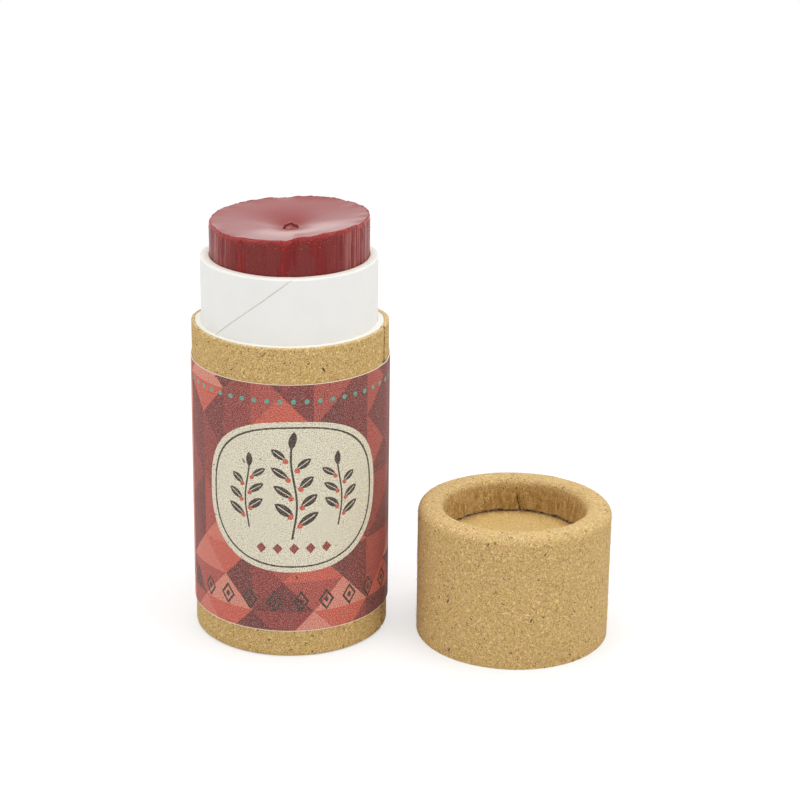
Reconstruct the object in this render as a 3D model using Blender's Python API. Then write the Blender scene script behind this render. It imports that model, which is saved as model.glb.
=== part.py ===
"""Lip and cheek tint in a paperboard push-up tube, cap off and standing beside it.

Metres, +Z up, with the camera side at -Y. The origin is on the table, under the middle
of the box that holds the tube and the cap together.
"""

import math
from dataclasses import dataclass

import bmesh
import bpy
from mathutils import Matrix, Vector

# Paper tube stock that the body and the cap are both cut from
TUBE_RADIUS = 0.01380
FACING_THICKNESS = 0.00039
BOARD_THICKNESS = 0.00094
CURL_WIDTH = 0.00374
GLUE_LINE = 0.00004

# Body: straight tube, its lower edge curled inwards into a flat foot
BODY_HEIGHT = 0.04597
BODY_CURL_LEG = 0.00420
BODY_CURL_OUTER_ROUND = 0.00045
BODY_CURL_INNER_ROUND = 0.00140
BODY_MOUTH_ROUND = 0.00020

# Butt seams of the wrapped papers, as a gap and as degrees round from +X
FACING_SEAM_GAP = 0.00030
BODY_SEAM_DEGREES = -17.0
CAP_SEAM_GAP = 0.00012
CAP_SEAM_DEGREES = 84.0
LABEL_SEAM_GAP = 0.00025
LABEL_SEAM_DEGREES = -164.4

# Label
LABEL_THICKNESS = 0.00014
LABEL_HEIGHT = 0.03687
LABEL_ABOVE_FOOT = 0.00402

# Neck: the inner tube that stands on the curl and shows above the body
NECK_FIT = 0.00008
NECK_SEAT_GAP = 0.00010
NECK_EXPOSED = 0.00920
NECK_FACING_THICKNESS = 0.00022
NECK_BOARD_THICKNESS = 0.00062
NECK_LINER_THICKNESS = 0.00018
NECK_EDGE_ROUND = 0.00016

# Spiral winding of the neck's facing: the seam falls by one pitch in each turn clockwise,
# from where it meets the neck's top
WINDING_PITCH = 0.05990
WINDING_GAP = 0.00015
WINDING_TOP_DEGREES = -90.0

# Pusher: a disc on a short skirt that slides in the neck, pressed up by a finger
PUSHER_CLEARANCE = 0.00013
PUSHER_RAISED = 0.00510
SKIRT_HEIGHT = 0.00950
SKIRT_WALL = 0.00090
SKIRT_EDGE_ROUND = 0.00030
PUSH_DISC_THICKNESS = 0.00120
BARRIER_THICKNESS = 0.00025

# Tint stick: poured colour with a sunken top and a pit where it cooled last
STICK_LENGTH = 0.03958
STICK_RIM_ROUND = 0.00035
STICK_TILT_RISE = 0.00090
CRATER_DEPTH = 0.00115
PIT_RADIUS = 0.00105
PIT_DEPTH = 0.00070

# Cap: its upper edge curled inwards, a little higher on the camera side, with a disc
# pushed up under the curl
CAP_HEIGHT = 0.01953
CAP_CURL_LEG = 0.00528
CAP_CURL_OUTER_ROUND = 0.00140
CAP_CURL_INNER_ROUND = 0.00110
CAP_CURL_SKEW = 0.00058
CAP_DISC_SEAT_GAP = 0.00030
CAP_DISC_FIT = 0.00010
CAP_DISC_PAPER = 0.00025
CAP_DISC_BOARD = 0.00100
CAP_DISC_LINING = 0.00015

# Free part of a flat face: it stands proud of the edge that another piece presses down
FREE_FACE_INSET = 0.00010
FREE_FACE_RISE = 0.00005

# Cap's place beside the tube: clear gap to the label, and degrees round from +X
CAP_STANDS_OFF = 0.004365
CAP_SIDE_DEGREES = -5.803

# Facets
TURN_STEPS = 60
ROUND_CHORD = 0.00050
MERGE_DISTANCE = 0.0000005
SHARP_DEGREES = 38.0

# Crater outline: share of the stick's radius, share of the crater's depth
CRATER_SHARES = ((0.90, 0.10), (0.72, 0.34), (0.50, 0.64), (0.28, 0.88))
PIT_FLOOR_SHARE = 0.55
TILT_POWER = 2.5

# Sizes that follow from the ones above
TUBE_WALL = FACING_THICKNESS + GLUE_LINE + BOARD_THICKNESS
TUBE_BORE = TUBE_RADIUS - TUBE_WALL
CURL_BORE = TUBE_RADIUS - CURL_WIDTH
LABEL_RADIUS = TUBE_RADIUS + GLUE_LINE + LABEL_THICKNESS

NECK_RADIUS = TUBE_BORE - NECK_FIT
NECK_BOARD_RADIUS = NECK_RADIUS - NECK_FACING_THICKNESS - GLUE_LINE
NECK_LINER_RADIUS = NECK_BOARD_RADIUS - NECK_BOARD_THICKNESS - GLUE_LINE
NECK_BORE = NECK_LINER_RADIUS - NECK_LINER_THICKNESS
NECK_FOOT = BODY_CURL_LEG + NECK_SEAT_GAP
NECK_TOP = BODY_HEIGHT + NECK_EXPOSED

PUSHER_RADIUS = NECK_BORE - PUSHER_CLEARANCE
SKIRT_FOOT = NECK_FOOT + PUSHER_RAISED
PUSH_DISC_FOOT = SKIRT_FOOT + SKIRT_HEIGHT + GLUE_LINE
BARRIER_FOOT = PUSH_DISC_FOOT + PUSH_DISC_THICKNESS + GLUE_LINE
STICK_FOOT = BARRIER_FOOT + BARRIER_THICKNESS + GLUE_LINE

CAP_BESIDE = LABEL_RADIUS + CAP_STANDS_OFF + TUBE_RADIUS
CAP_BESIDE_X = CAP_BESIDE * math.cos(math.radians(CAP_SIDE_DEGREES))
CAP_BESIDE_Y = CAP_BESIDE * math.sin(math.radians(CAP_SIDE_DEGREES))
CAP_DISC_RADIUS = TUBE_BORE - CAP_DISC_FIT
CAP_DISC_TOP = CAP_HEIGHT - CAP_CURL_LEG - CAP_DISC_SEAT_GAP
CAP_BOARD_TOP = CAP_DISC_TOP - CAP_DISC_PAPER - GLUE_LINE
CAP_LINING_TOP = CAP_BOARD_TOP - CAP_DISC_BOARD - GLUE_LINE


@dataclass(frozen=True)
class Finish:
    """A part's plain finish: linear colour, roughness and metallic value."""

    name: str
    colour: tuple
    roughness: float
    metallic: float = 0.0


KRAFT = Finish("kraft_paper", (0.56, 0.37, 0.15), 0.85)
WHITE_BOARD = Finish("white_board", (0.82, 0.80, 0.75), 0.80)
WHITE_PAPER = Finish("white_paper", (0.83, 0.83, 0.80), 0.60)
GREASEPROOF = Finish("greaseproof_paper", (0.74, 0.71, 0.63), 0.45)
GREY_BOARD = Finish("grey_board", (0.45, 0.40, 0.33), 0.88)
LABEL_PRINT = Finish("label_print", (0.46, 0.09, 0.07), 0.55)
TINT = Finish("berry_tint", (0.28, 0.03, 0.03), 0.30)


@dataclass(frozen=True)
class CurledTube:
    """A length of tube stock with one edge curled inwards, drawn with the curl at the bottom."""

    height: float
    leg: float
    outer_round: float
    inner_round: float
    mouth_round: float = 0.0

    def face_at(self, depth):
        """Section line of the surface that lies this deep, from the cut mouth to the raw end."""
        wall = TUBE_RADIUS - depth
        lip = CURL_BORE + depth
        outer = max(self.outer_round - depth, 0.0)
        inner = max(self.inner_round - depth, 0.0)
        mouth = max(self.mouth_round - depth, 0.0)
        line = quarter(wall - mouth, self.height - mouth, mouth, 90.0)
        line += quarter(wall - outer, depth + outer, outer, 0.0)
        line += quarter(lip + inner, depth + inner, inner, -90.0)
        line.append((lip, self.leg))
        return without_repeats(line)

    def ply(self, shallow, deep):
        """Closed section of the ply between two depths."""
        return self.face_at(shallow) + self.face_at(deep)[::-1]


def quarter(centre_radius, centre_height, radius, start_degrees):
    """A quarter turn clockwise, in as many chords as its size asks for."""
    steps = max(1, math.ceil(radius / ROUND_CHORD))
    angles = [math.radians(start_degrees - 90.0 * i / steps) for i in range(steps + 1)]
    return [
        (centre_radius + radius * math.cos(a), centre_height + radius * math.sin(a))
        for a in angles
    ]


def without_repeats(line):
    """The line with points dropped that lie on the one before."""
    kept = [line[0]]
    for point in line[1:]:
        if math.dist(point, kept[-1]) > MERGE_DISTANCE:
            kept.append(point)
    return kept


def turned_over(section, height):
    """The section upside down within this height."""
    return [(radius, height - level) for radius, level in section]


def ring(outer_radius, inner_radius, foot, top):
    """Section of a plain tube."""
    return [(inner_radius, top), (inner_radius, foot), (outer_radius, foot), (outer_radius, top)]


def skirt_ring(outer_radius, inner_radius, foot, top, edge_round):
    """Section of a tube whose lower edge is softened inside and out."""
    line = [(outer_radius, top)]
    line += quarter(outer_radius - edge_round, foot + edge_round, edge_round, 0.0)
    line += quarter(inner_radius + edge_round, foot + edge_round, edge_round, -90.0)
    line.append((inner_radius, top))
    return without_repeats(line)


def disc(radius, foot, top, free_below=0.0, free_above=0.0):
    """Half section of a round plate; a face stands proud out to its free radius."""
    lower = [(0.0, foot)]
    if free_below:
        proud = foot - FREE_FACE_RISE
        lower = [(0.0, proud), (free_below, proud), (free_below, foot)]
    upper = [(0.0, top)]
    if free_above:
        proud = top + FREE_FACE_RISE
        upper = [(free_above, top), (free_above, proud), (0.0, proud)]
    return lower + [(radius, foot), (radius, top)] + upper


def stick_outline():
    """Half section of the tint stick, from the axis at its foot to the floor of the pit."""
    top = STICK_FOOT + STICK_LENGTH
    rim = STICK_RIM_ROUND
    crater = [
        (PUSHER_RADIUS * radius_share, top - CRATER_DEPTH * depth_share)
        for radius_share, depth_share in CRATER_SHARES
    ]
    side = [(0.0, STICK_FOOT), (PUSHER_RADIUS, STICK_FOOT)]
    edge = quarter(PUSHER_RADIUS - rim, top - rim, rim, 90.0)[::-1]
    lip = (PIT_RADIUS, top - CRATER_DEPTH)
    floor_height = top - CRATER_DEPTH - PIT_DEPTH
    floor = [(PIT_RADIUS * PIT_FLOOR_SHARE, floor_height), (0.0, floor_height)]
    return side + edge + crater + [lip] + floor


def revolve(section, seam_gap=0.0, seam_degrees=0.0):
    """Turns a section round the Z axis, leaving a slit where the paper's two ends meet."""
    closed = min(radius for radius, _ in section) > 0.0
    slit = seam_gap / max(radius for radius, _ in section)
    start = math.radians(seam_degrees) + slit / 2
    bm = bmesh.new()
    first = [
        bm.verts.new((radius * math.cos(start), radius * math.sin(start), level))
        for radius, level in section
    ]
    pairs = zip(first, first[1:] + first[:1]) if closed else zip(first, first[1:])
    edges = [bm.edges.new(pair) for pair in pairs]
    spun = bmesh.ops.spin(
        bm,
        geom=first + edges,
        cent=(0.0, 0.0, 0.0),
        axis=(0.0, 0.0, 1.0),
        angle=math.tau - slit,
        steps=TURN_STEPS,
    )
    if slit:
        last = [item for item in spun["geom_last"] if isinstance(item, bmesh.types.BMVert)]
        bm.faces.new(first)
        bmesh.ops.contextual_create(
            bm, geom=[edge for edge in bm.edges if set(edge.verts) <= set(last)]
        )
    else:
        bmesh.ops.remove_doubles(bm, verts=bm.verts, dist=MERGE_DISTANCE)
    bmesh.ops.recalc_face_normals(bm, faces=bm.faces)
    return bm


def wound_ply(outer_radius, inner_radius, foot, top, edge_round):
    """Winds a strip of paper round the Z axis with a helical butt seam, trimmed square at both ends."""
    fall = WINDING_PITCH / TURN_STEPS
    climb = math.hypot(1.0, WINDING_PITCH / (math.tau * outer_radius))
    half_gap = WINDING_GAP / 2 * climb
    bm = bmesh.new()
    rows = []
    for step in range(TURN_STEPS + math.ceil((top - foot) / fall) + 1):
        low = min(max(top - fall * step + half_gap, foot), top)
        high = max(min(top - fall * (step - TURN_STEPS) - half_gap, top), foot)
        bevel = min(edge_round, high - low)
        line = [(inner_radius, high), (inner_radius, low), (outer_radius, low)]
        line += [(outer_radius, high - bevel), (outer_radius - bevel, high)]
        angle = math.radians(WINDING_TOP_DEGREES) - step * math.tau / TURN_STEPS
        turn = Matrix.Rotation(angle, 3, "Z")
        rows.append([bm.verts.new(turn @ Vector((radius, 0.0, z))) for radius, z in line])
    for near, far in zip(rows, rows[1:]):
        for i in range(len(near)):
            bm.faces.new((near[i - 1], near[i], far[i], far[i - 1]))
    bm.faces.new(rows[0])
    bm.faces.new(rows[-1])
    bmesh.ops.remove_doubles(bm, verts=bm.verts, dist=MERGE_DISTANCE)
    bmesh.ops.recalc_face_normals(bm, faces=bm.faces)
    return bm


def material_of(finish):
    """The finish as a Principled material, made once."""
    found = bpy.data.materials.get(finish.name)
    if found:
        return found
    material = bpy.data.materials.new(finish.name)
    material.use_nodes = True
    shader = material.node_tree.nodes["Principled BSDF"]
    shader.inputs["Base Color"].default_value = (*finish.colour, 1.0)
    shader.inputs["Roughness"].default_value = finish.roughness
    shader.inputs["Metallic"].default_value = finish.metallic
    return material


def add_part(name, bm, finish, axis):
    """Makes the mesh a smooth-shaded object that hangs from its axis."""
    mesh = bpy.data.meshes.new(name)
    bm.to_mesh(mesh)
    bm.free()
    mesh.materials.append(material_of(finish))
    mesh.shade_smooth()
    mesh.set_sharp_from_angle(angle=math.radians(SHARP_DEGREES))
    part = bpy.data.objects.new(name, mesh)
    part.parent = axis
    bpy.context.scene.collection.objects.link(part)
    return part


def add_axis(name, x, y, parent=None):
    """An empty on the axis that a group of round pieces shares."""
    axis = bpy.data.objects.new(name, None)
    axis.location = (x, y, 0.0)
    axis.parent = parent
    bpy.context.scene.collection.objects.link(axis)
    return axis


def centred(offset, near_radius, far_radius):
    """Place of the tube's axis that centres the pair along one direction."""
    low = min(-near_radius, offset - far_radius)
    high = max(near_radius, offset + far_radius)
    return -(low + high) / 2


def make_body(axis):
    """Board tube and kraft facing, curled in together at the foot, and the label."""
    tube = CurledTube(
        BODY_HEIGHT,
        BODY_CURL_LEG,
        BODY_CURL_OUTER_ROUND,
        BODY_CURL_INNER_ROUND,
        BODY_MOUTH_ROUND,
    )
    board = revolve(tube.ply(FACING_THICKNESS + GLUE_LINE, TUBE_WALL))
    add_part("body_board_tube", board, WHITE_BOARD, axis)
    facing = tube.ply(0.0, FACING_THICKNESS)
    add_part(
        "body_kraft_facing",
        revolve(facing, FACING_SEAM_GAP, BODY_SEAM_DEGREES),
        KRAFT,
        axis,
    )
    label = ring(
        LABEL_RADIUS, TUBE_RADIUS + GLUE_LINE, LABEL_ABOVE_FOOT, LABEL_ABOVE_FOOT + LABEL_HEIGHT
    )
    add_part(
        "printed_label", revolve(label, LABEL_SEAM_GAP, LABEL_SEAM_DEGREES), LABEL_PRINT, axis
    )


def make_neck(axis):
    """The inner tube's three plies, which all stand on the raw end of the body's curl."""
    facing = wound_ply(
        NECK_RADIUS, NECK_RADIUS - NECK_FACING_THICKNESS, NECK_FOOT, NECK_TOP, NECK_EDGE_ROUND
    )
    add_part("neck_white_facing", facing, WHITE_PAPER, axis)
    plies = (
        ("neck_board_tube", NECK_BOARD_RADIUS, NECK_BOARD_THICKNESS, WHITE_BOARD),
        ("neck_greaseproof_liner", NECK_LINER_RADIUS, NECK_LINER_THICKNESS, GREASEPROOF),
    )
    for name, radius, thickness, finish in plies:
        section = ring(radius, radius - thickness, NECK_FOOT, NECK_TOP)
        add_part(name, revolve(section), finish, axis)


def make_pusher(axis):
    """Skirt, disc and barrier disc, with the tint stick that stands on them."""
    skirt = skirt_ring(
        PUSHER_RADIUS,
        PUSHER_RADIUS - SKIRT_WALL,
        SKIRT_FOOT,
        SKIRT_FOOT + SKIRT_HEIGHT,
        SKIRT_EDGE_ROUND,
    )
    add_part("pusher_skirt", revolve(skirt), GREY_BOARD, axis)
    plate = disc(
        PUSHER_RADIUS,
        PUSH_DISC_FOOT,
        PUSH_DISC_FOOT + PUSH_DISC_THICKNESS,
        free_below=PUSHER_RADIUS - SKIRT_WALL - FREE_FACE_INSET,
    )
    add_part("push_disc", revolve(plate), GREY_BOARD, axis)
    barrier = disc(PUSHER_RADIUS, BARRIER_FOOT, BARRIER_FOOT + BARRIER_THICKNESS)
    add_part("greaseproof_disc", revolve(barrier), GREASEPROOF, axis)
    stick = revolve(stick_outline())
    raise_one_side(stick)
    add_part("tint_stick", stick, TINT, axis)


def raise_one_side(stick):
    """Lifts the stick's top towards +X, where it was pushed up a little askew."""
    for vert in stick.verts:
        if vert.co.z > STICK_FOOT + STICK_LENGTH / 2:
            across = (1.0 + vert.co.x / PUSHER_RADIUS) / 2
            vert.co.z += STICK_TILT_RISE * max(across, 0.0) ** TILT_POWER


def make_cap(axis):
    """Board tube and kraft facing, curled in together at the top, and the three-layer disc."""
    tube = CurledTube(CAP_HEIGHT, CAP_CURL_LEG, CAP_CURL_OUTER_ROUND, CAP_CURL_INNER_ROUND)
    plies = (
        ("cap_board_tube", FACING_THICKNESS + GLUE_LINE, TUBE_WALL, 0.0, WHITE_BOARD),
        ("cap_kraft_facing", 0.0, FACING_THICKNESS, CAP_SEAM_GAP, KRAFT),
    )
    for name, shallow, deep, seam_gap, finish in plies:
        section = turned_over(tube.ply(shallow, deep), CAP_HEIGHT)
        ply = revolve(section, seam_gap, CAP_SEAM_DEGREES if seam_gap else 0.0)
        skew_crown(ply)
        add_part(name, ply, finish, axis)
    shown = CURL_BORE - FREE_FACE_INSET
    layers = (
        ("cap_disc_kraft_paper", CAP_DISC_TOP, CAP_DISC_PAPER, shown, KRAFT),
        ("cap_disc_board", CAP_BOARD_TOP, CAP_DISC_BOARD, 0.0, GREY_BOARD),
        ("cap_disc_greaseproof_lining", CAP_LINING_TOP, CAP_DISC_LINING, 0.0, GREASEPROOF),
    )
    for name, top, thickness, shown_radius, finish in layers:
        layer = disc(CAP_DISC_RADIUS, top - thickness, top, free_above=shown_radius)
        add_part(name, revolve(layer), finish, axis)


def skew_crown(ply):
    """Stretches the curl towards -Y and shortens it towards +Y, from its raw end upwards."""
    for vert in ply.verts:
        up_share = (vert.co.z - CAP_HEIGHT + CAP_CURL_LEG) / CAP_CURL_LEG
        vert.co.z -= CAP_CURL_SKEW * max(up_share, 0.0) * vert.co.y / TUBE_RADIUS


def clear_scene():
    """Empties the scene of objects."""
    for obj in list(bpy.data.objects):
        bpy.data.objects.remove(obj, do_unlink=True)


def main():
    clear_scene()
    tube_x = centred(CAP_BESIDE_X, LABEL_RADIUS, TUBE_RADIUS)
    tube_y = centred(CAP_BESIDE_Y, LABEL_RADIUS, TUBE_RADIUS)
    tube_axis = add_axis("tube_axis", tube_x, tube_y)
    pusher_axis = add_axis("pusher_axis", 0.0, 0.0, tube_axis)
    cap_axis = add_axis("cap_axis", tube_x + CAP_BESIDE_X, tube_y + CAP_BESIDE_Y)
    make_body(tube_axis)
    make_neck(tube_axis)
    make_pusher(pusher_axis)
    make_cap(cap_axis)


if __name__ == "__main__":
    main()
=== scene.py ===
"""Lip and cheek tint in a paperboard push-up tube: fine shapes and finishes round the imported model.

Everything is in metres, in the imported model's own frame: +Z up, the viewer towards -Y.
"""

from __future__ import annotations

import logging
import math
from dataclasses import dataclass, field
from enum import Enum
from typing import Callable

import bmesh
import bpy
import numpy as np
from mathutils import Matrix, Vector

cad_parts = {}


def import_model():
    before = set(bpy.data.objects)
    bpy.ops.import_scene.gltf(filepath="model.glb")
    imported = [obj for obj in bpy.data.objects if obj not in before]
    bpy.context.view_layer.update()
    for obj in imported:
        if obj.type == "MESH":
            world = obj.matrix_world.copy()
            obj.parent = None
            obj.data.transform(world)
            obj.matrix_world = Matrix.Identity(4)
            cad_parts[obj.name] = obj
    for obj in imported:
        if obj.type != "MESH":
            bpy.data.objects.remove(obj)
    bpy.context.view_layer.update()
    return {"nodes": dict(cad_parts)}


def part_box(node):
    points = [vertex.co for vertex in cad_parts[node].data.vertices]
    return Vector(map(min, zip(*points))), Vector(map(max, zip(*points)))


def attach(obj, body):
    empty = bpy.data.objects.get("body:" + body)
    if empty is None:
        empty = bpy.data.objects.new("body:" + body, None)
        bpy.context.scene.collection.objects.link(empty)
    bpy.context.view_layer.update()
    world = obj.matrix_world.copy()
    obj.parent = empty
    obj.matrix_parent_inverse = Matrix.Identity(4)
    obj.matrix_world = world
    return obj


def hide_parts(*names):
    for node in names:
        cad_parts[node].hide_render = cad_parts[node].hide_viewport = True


MM = 0.001
SAME_POINT = 1.0e-7
MERGED = 0.0004 * MM
LOG = logging.getLogger("tint")

# Names that meshes and materials share
SHEET_MAP = "Sheet"
RUN = "run"
TURNED = "turned"
RIM = "rim"
TOP = "top"
# Painted shade along the edge of the pit in the stick's top
PIT_SHADE = "pit"
# Painted highlight on the front of the stick's sunken top
PAINTED_HIGHLIGHT = "bloom"
# Paler where worn, with painted highlight on the body's mouth, the cap's crown and the leg's upper part;
# the raw outer face on the neck board
WEAR_AND_HIGHLIGHT = "worn"
# Painted shade carried by the points: the body seam's groove and the cap's curled leg, its creases and
# raw end
PAINTED_SHADE = "crease"

Colour = tuple[float, float, float]
Place = tuple[float, float, float]
Line = list[tuple[float, float]]

WHITE: Colour = (1.0, 1.0, 1.0)
NECK_SHIFT = 0.05 * MM


class Body(Enum):
    """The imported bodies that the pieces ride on."""

    TUBE = "tube"
    PUSHER = "pusher"
    CAP = "cap"


class Slot(Enum):
    """Material slot names, one given with each piece."""

    KRAFT = "kraft_paper"
    BOARD = "white_board"
    PAPER = "white_paper"
    GREASEPROOF = "greaseproof_paper"
    LABEL = "label_print"
    TINT = "berry_tint"


# Node graphs


class Graph:
    """A shader or geometry node tree, filled through one method."""

    def __init__(self, tree: bpy.types.NodeTree) -> None:
        """Wraps an empty tree."""
        self.tree = tree

    def node(
        self, kind: str, settings: dict | None = None, sockets: dict | None = None
    ) -> bpy.types.Node:
        """Adds a node.

        Args:
            kind: The node's type.
            settings: Its properties, which are set first.
            sockets: Values or links, by the socket's name or number.

        Returns:
            The new node.
        """
        made = self.tree.nodes.new(kind)
        for key, value in (settings or {}).items():
            if key == "ramp":
                self.set_ramp(made.color_ramp, value)
            else:
                setattr(made, key, value)
        for key, value in (sockets or {}).items():
            self.plug(made.inputs[key], value)
        return made

    def plug(self, socket: bpy.types.NodeSocket, value: object) -> None:
        """Links an input or sets its value.

        Args:
            socket: The input.
            value: A wire or a socket to link, or else a plain value.
        """
        if isinstance(value, Wire):
            value = value.socket
        if isinstance(value, bpy.types.NodeSocket):
            self.tree.links.new(value, socket)
        elif socket.type == "RGBA" and len(value) == 3:
            socket.default_value = (*value, 1.0)
        else:
            socket.default_value = value

    def set_ramp(self, ramp: bpy.types.ColorRamp, stops: list[tuple[float, Colour]]) -> None:
        """Gives a colour ramp its stops.

        Args:
            ramp: The ramp.
            stops: Place and colour of each stop, in order.
        """
        while len(ramp.elements) < len(stops):
            ramp.elements.new(1.0)
        for element, (place, colour) in zip(ramp.elements, stops):
            element.position = place
            element.color = (*colour, 1.0)

    def number(self, kind: str, settings: dict, sockets: dict, output: int | str = 0) -> Wire:
        """Adds a node and returns one of its number outputs as a wire."""
        return Wire(self, self.node(kind, settings, sockets).outputs[output])

    def math(self, operation: str, *values: object, clamp: bool = False) -> Wire:
        """Adds a Math node."""
        return self.number(
            "ShaderNodeMath",
            {"operation": operation, "use_clamp": clamp},
            dict(enumerate(values)),
        )

    def split(self, vector: object) -> tuple[Wire, Wire, Wire]:
        """Takes a vector apart."""
        made = self.node("ShaderNodeSeparateXYZ", {}, {0: vector})
        return tuple(Wire(self, output) for output in made.outputs)

    def join(self, x: object, y: object, z: object = 0.0) -> bpy.types.NodeSocket:
        """Makes a vector of three numbers."""
        return self.node("ShaderNodeCombineXYZ", {}, {0: x, 1: y, 2: z}).outputs[0]

    def step(self, value: Wire, low: float, high: float) -> Wire:
        """Rises smoothly from 0 at low to 1 at high, or falls if high is the smaller."""
        return self.number(
            "ShaderNodeMapRange",
            {"interpolation_type": "SMOOTHSTEP"},
            {"Value": value, "From Min": low, "From Max": high},
        )

    def mix(self, share: object, first: object, second: object, way: str = "MIX") -> object:
        """Mixes two colours."""
        made = self.node(
            "ShaderNodeMix",
            {"data_type": "RGBA", "blend_type": way},
            {0: share, 6: first, 7: second},
        )
        return made.outputs[2]

    def noise(
        self,
        place: object,
        scale: float,
        detail: float = 2.0,
        roughness: float = 0.5,
        distortion: float = 0.0,
        flat: bool = False,
    ) -> Wire:
        """Adds a noise texture of this many features to the unit of its place."""
        return self.number(
            "ShaderNodeTexNoise",
            {"noise_dimensions": "2D" if flat else "3D"},
            {
                "Vector": place,
                "Scale": scale,
                "Detail": detail,
                "Roughness": roughness,
                "Distortion": distortion,
            },
        )

    def laid(self, place: object, turn: float, along: float, across: float, shift: float) -> object:
        """Turns a flat place and stretches it, so that a pattern there gets a grain."""
        return self.node(
            "ShaderNodeMapping",
            {"vector_type": "TEXTURE"},
            {
                "Vector": place,
                "Location": (shift, -0.7 * shift, 0.0),
                "Rotation": (0.0, 0.0, turn),
                "Scale": (along, across, along),
            },
        ).outputs[0]


def operation(name: str, swapped: bool = False) -> Callable[..., Wire]:
    """Makes an operator of wires out of a Math node.

    Args:
        name: The node's operation.
        swapped: Whether the wire comes last, as the mask does in 1 - mask.

    Returns:
        The operator, for one wire and whatever stands beside it.
    """

    def operator(wire: Wire, *others: object) -> Wire:
        """Adds the node."""
        values = (*others, wire) if swapped else (wire, *others)
        return wire.graph.math(name, *values)

    return operator


class Wire:
    """A socket that carries a number, so that node maths reads as Python."""

    def __init__(self, graph: Graph, socket: bpy.types.NodeSocket) -> None:
        """Wraps a socket of this graph."""
        self.graph = graph
        self.socket = socket

    def __neg__(self) -> Wire:
        """Negative."""
        return self * -1.0

    __add__ = __radd__ = operation("ADD")
    __sub__ = operation("SUBTRACT")
    __rsub__ = operation("SUBTRACT", swapped=True)
    __mul__ = __rmul__ = operation("MULTIPLY")
    __truediv__ = operation("DIVIDE")
    __rtruediv__ = operation("DIVIDE", swapped=True)
    __pow__ = operation("POWER")
    __abs__ = operation("ABSOLUTE")
    __gt__ = operation("GREATER_THAN")
    __lt__ = operation("LESS_THAN")
    most = operation("MAXIMUM")
    floor = operation("FLOOR")
    sin = operation("SINE")
    cos = operation("COSINE")


class Shader(Graph):
    """A material's tree with a Principled BSDF at its end."""

    def __init__(self, name: str, bumpiness: float = 0.0) -> None:
        """Makes the material.

        Args:
            name: The material's name.
            bumpiness: Height of the bump in metres, when one is plugged in.
        """
        self.material = bpy.data.materials.new(name)
        self.material.use_nodes = True
        super().__init__(self.material.node_tree)
        self.tree.nodes.clear()
        self.surface = self.node("ShaderNodeBsdfPrincipled")
        self.node("ShaderNodeOutputMaterial", {}, {"Surface": self.surface.outputs[0]})
        self.bumpiness = bumpiness

    def place(self) -> bpy.types.NodeSocket:
        """Object coordinates, in metres."""
        return self.node("ShaderNodeTexCoord").outputs["Object"]

    def paper(self) -> bpy.types.NodeSocket:
        """The sheet's own flat coordinates, in metres."""
        return self.node("ShaderNodeUVMap", {"uv_map": SHEET_MAP}).outputs[0]

    def carried(self, name: str) -> Wire:
        """A number that the piece's points carry."""
        made = self.node("ShaderNodeAttribute", {"attribute_name": name})
        return Wire(self, made.outputs["Fac"])

    def specks(self, sheet: object, shift: float) -> Wire:
        """Mask of sparse specks, a few tenths of a millimetre long.

        Args:
            sheet: Flat coordinates in metres.
            shift: Moves the pattern, in millimetres.

        Returns:
            1 on the specks.
        """
        found = None
        for size, rare, turn in ((0.30, 0.945, 0.6), (0.46, 0.970, 2.1), (0.20, 0.920, 1.3)):
            offset = (shift + 17.0 * turn) * MM
            moved = self.laid(sheet, turn, 1.6 * size * MM, 0.65 * size * MM, offset)
            cell = self.node(
                "ShaderNodeTexVoronoi", {"voronoi_dimensions": "2D"}, {"Vector": moved, "Scale": 0.24}
            )
            toss, size_share, _ = self.split(cell.outputs["Color"])
            reach = 0.075 + 0.08 * size_share
            away = Wire(self, cell.outputs["Distance"]) + 0.05 * self.noise(moved, 1.2, 2.0)
            speck = (toss > rare) * (away < reach)
            found = speck if found is None else found.most(speck)
        return found

    def layered(self, colour: object, *coats: tuple[object, object]) -> object:
        """Lays further colours over a first one.

        Args:
            colour: The first colour.
            coats: Mask and colour of each further one, in order.

        Returns:
            The mixed colour.
        """
        for mask, coat in coats:
            colour = self.mix(mask, colour, coat)
        return colour

    def set(self, **values: object) -> None:
        """Plugs the shader's sockets, named with _ for a space."""
        for key, value in values.items():
            self.plug(self.surface.inputs[key.replace("_", " ")], value)

    def bump(self, height: Wire, strength: float = 1.0) -> None:
        """Feeds a height from 0 to 1 to the shader's normal."""
        made = self.node(
            "ShaderNodeBump",
            {},
            {"Strength": strength, "Distance": self.bumpiness, "Height": height},
        )
        self.plug(self.surface.inputs["Normal"], made.outputs[0])


# Finishes


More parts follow.
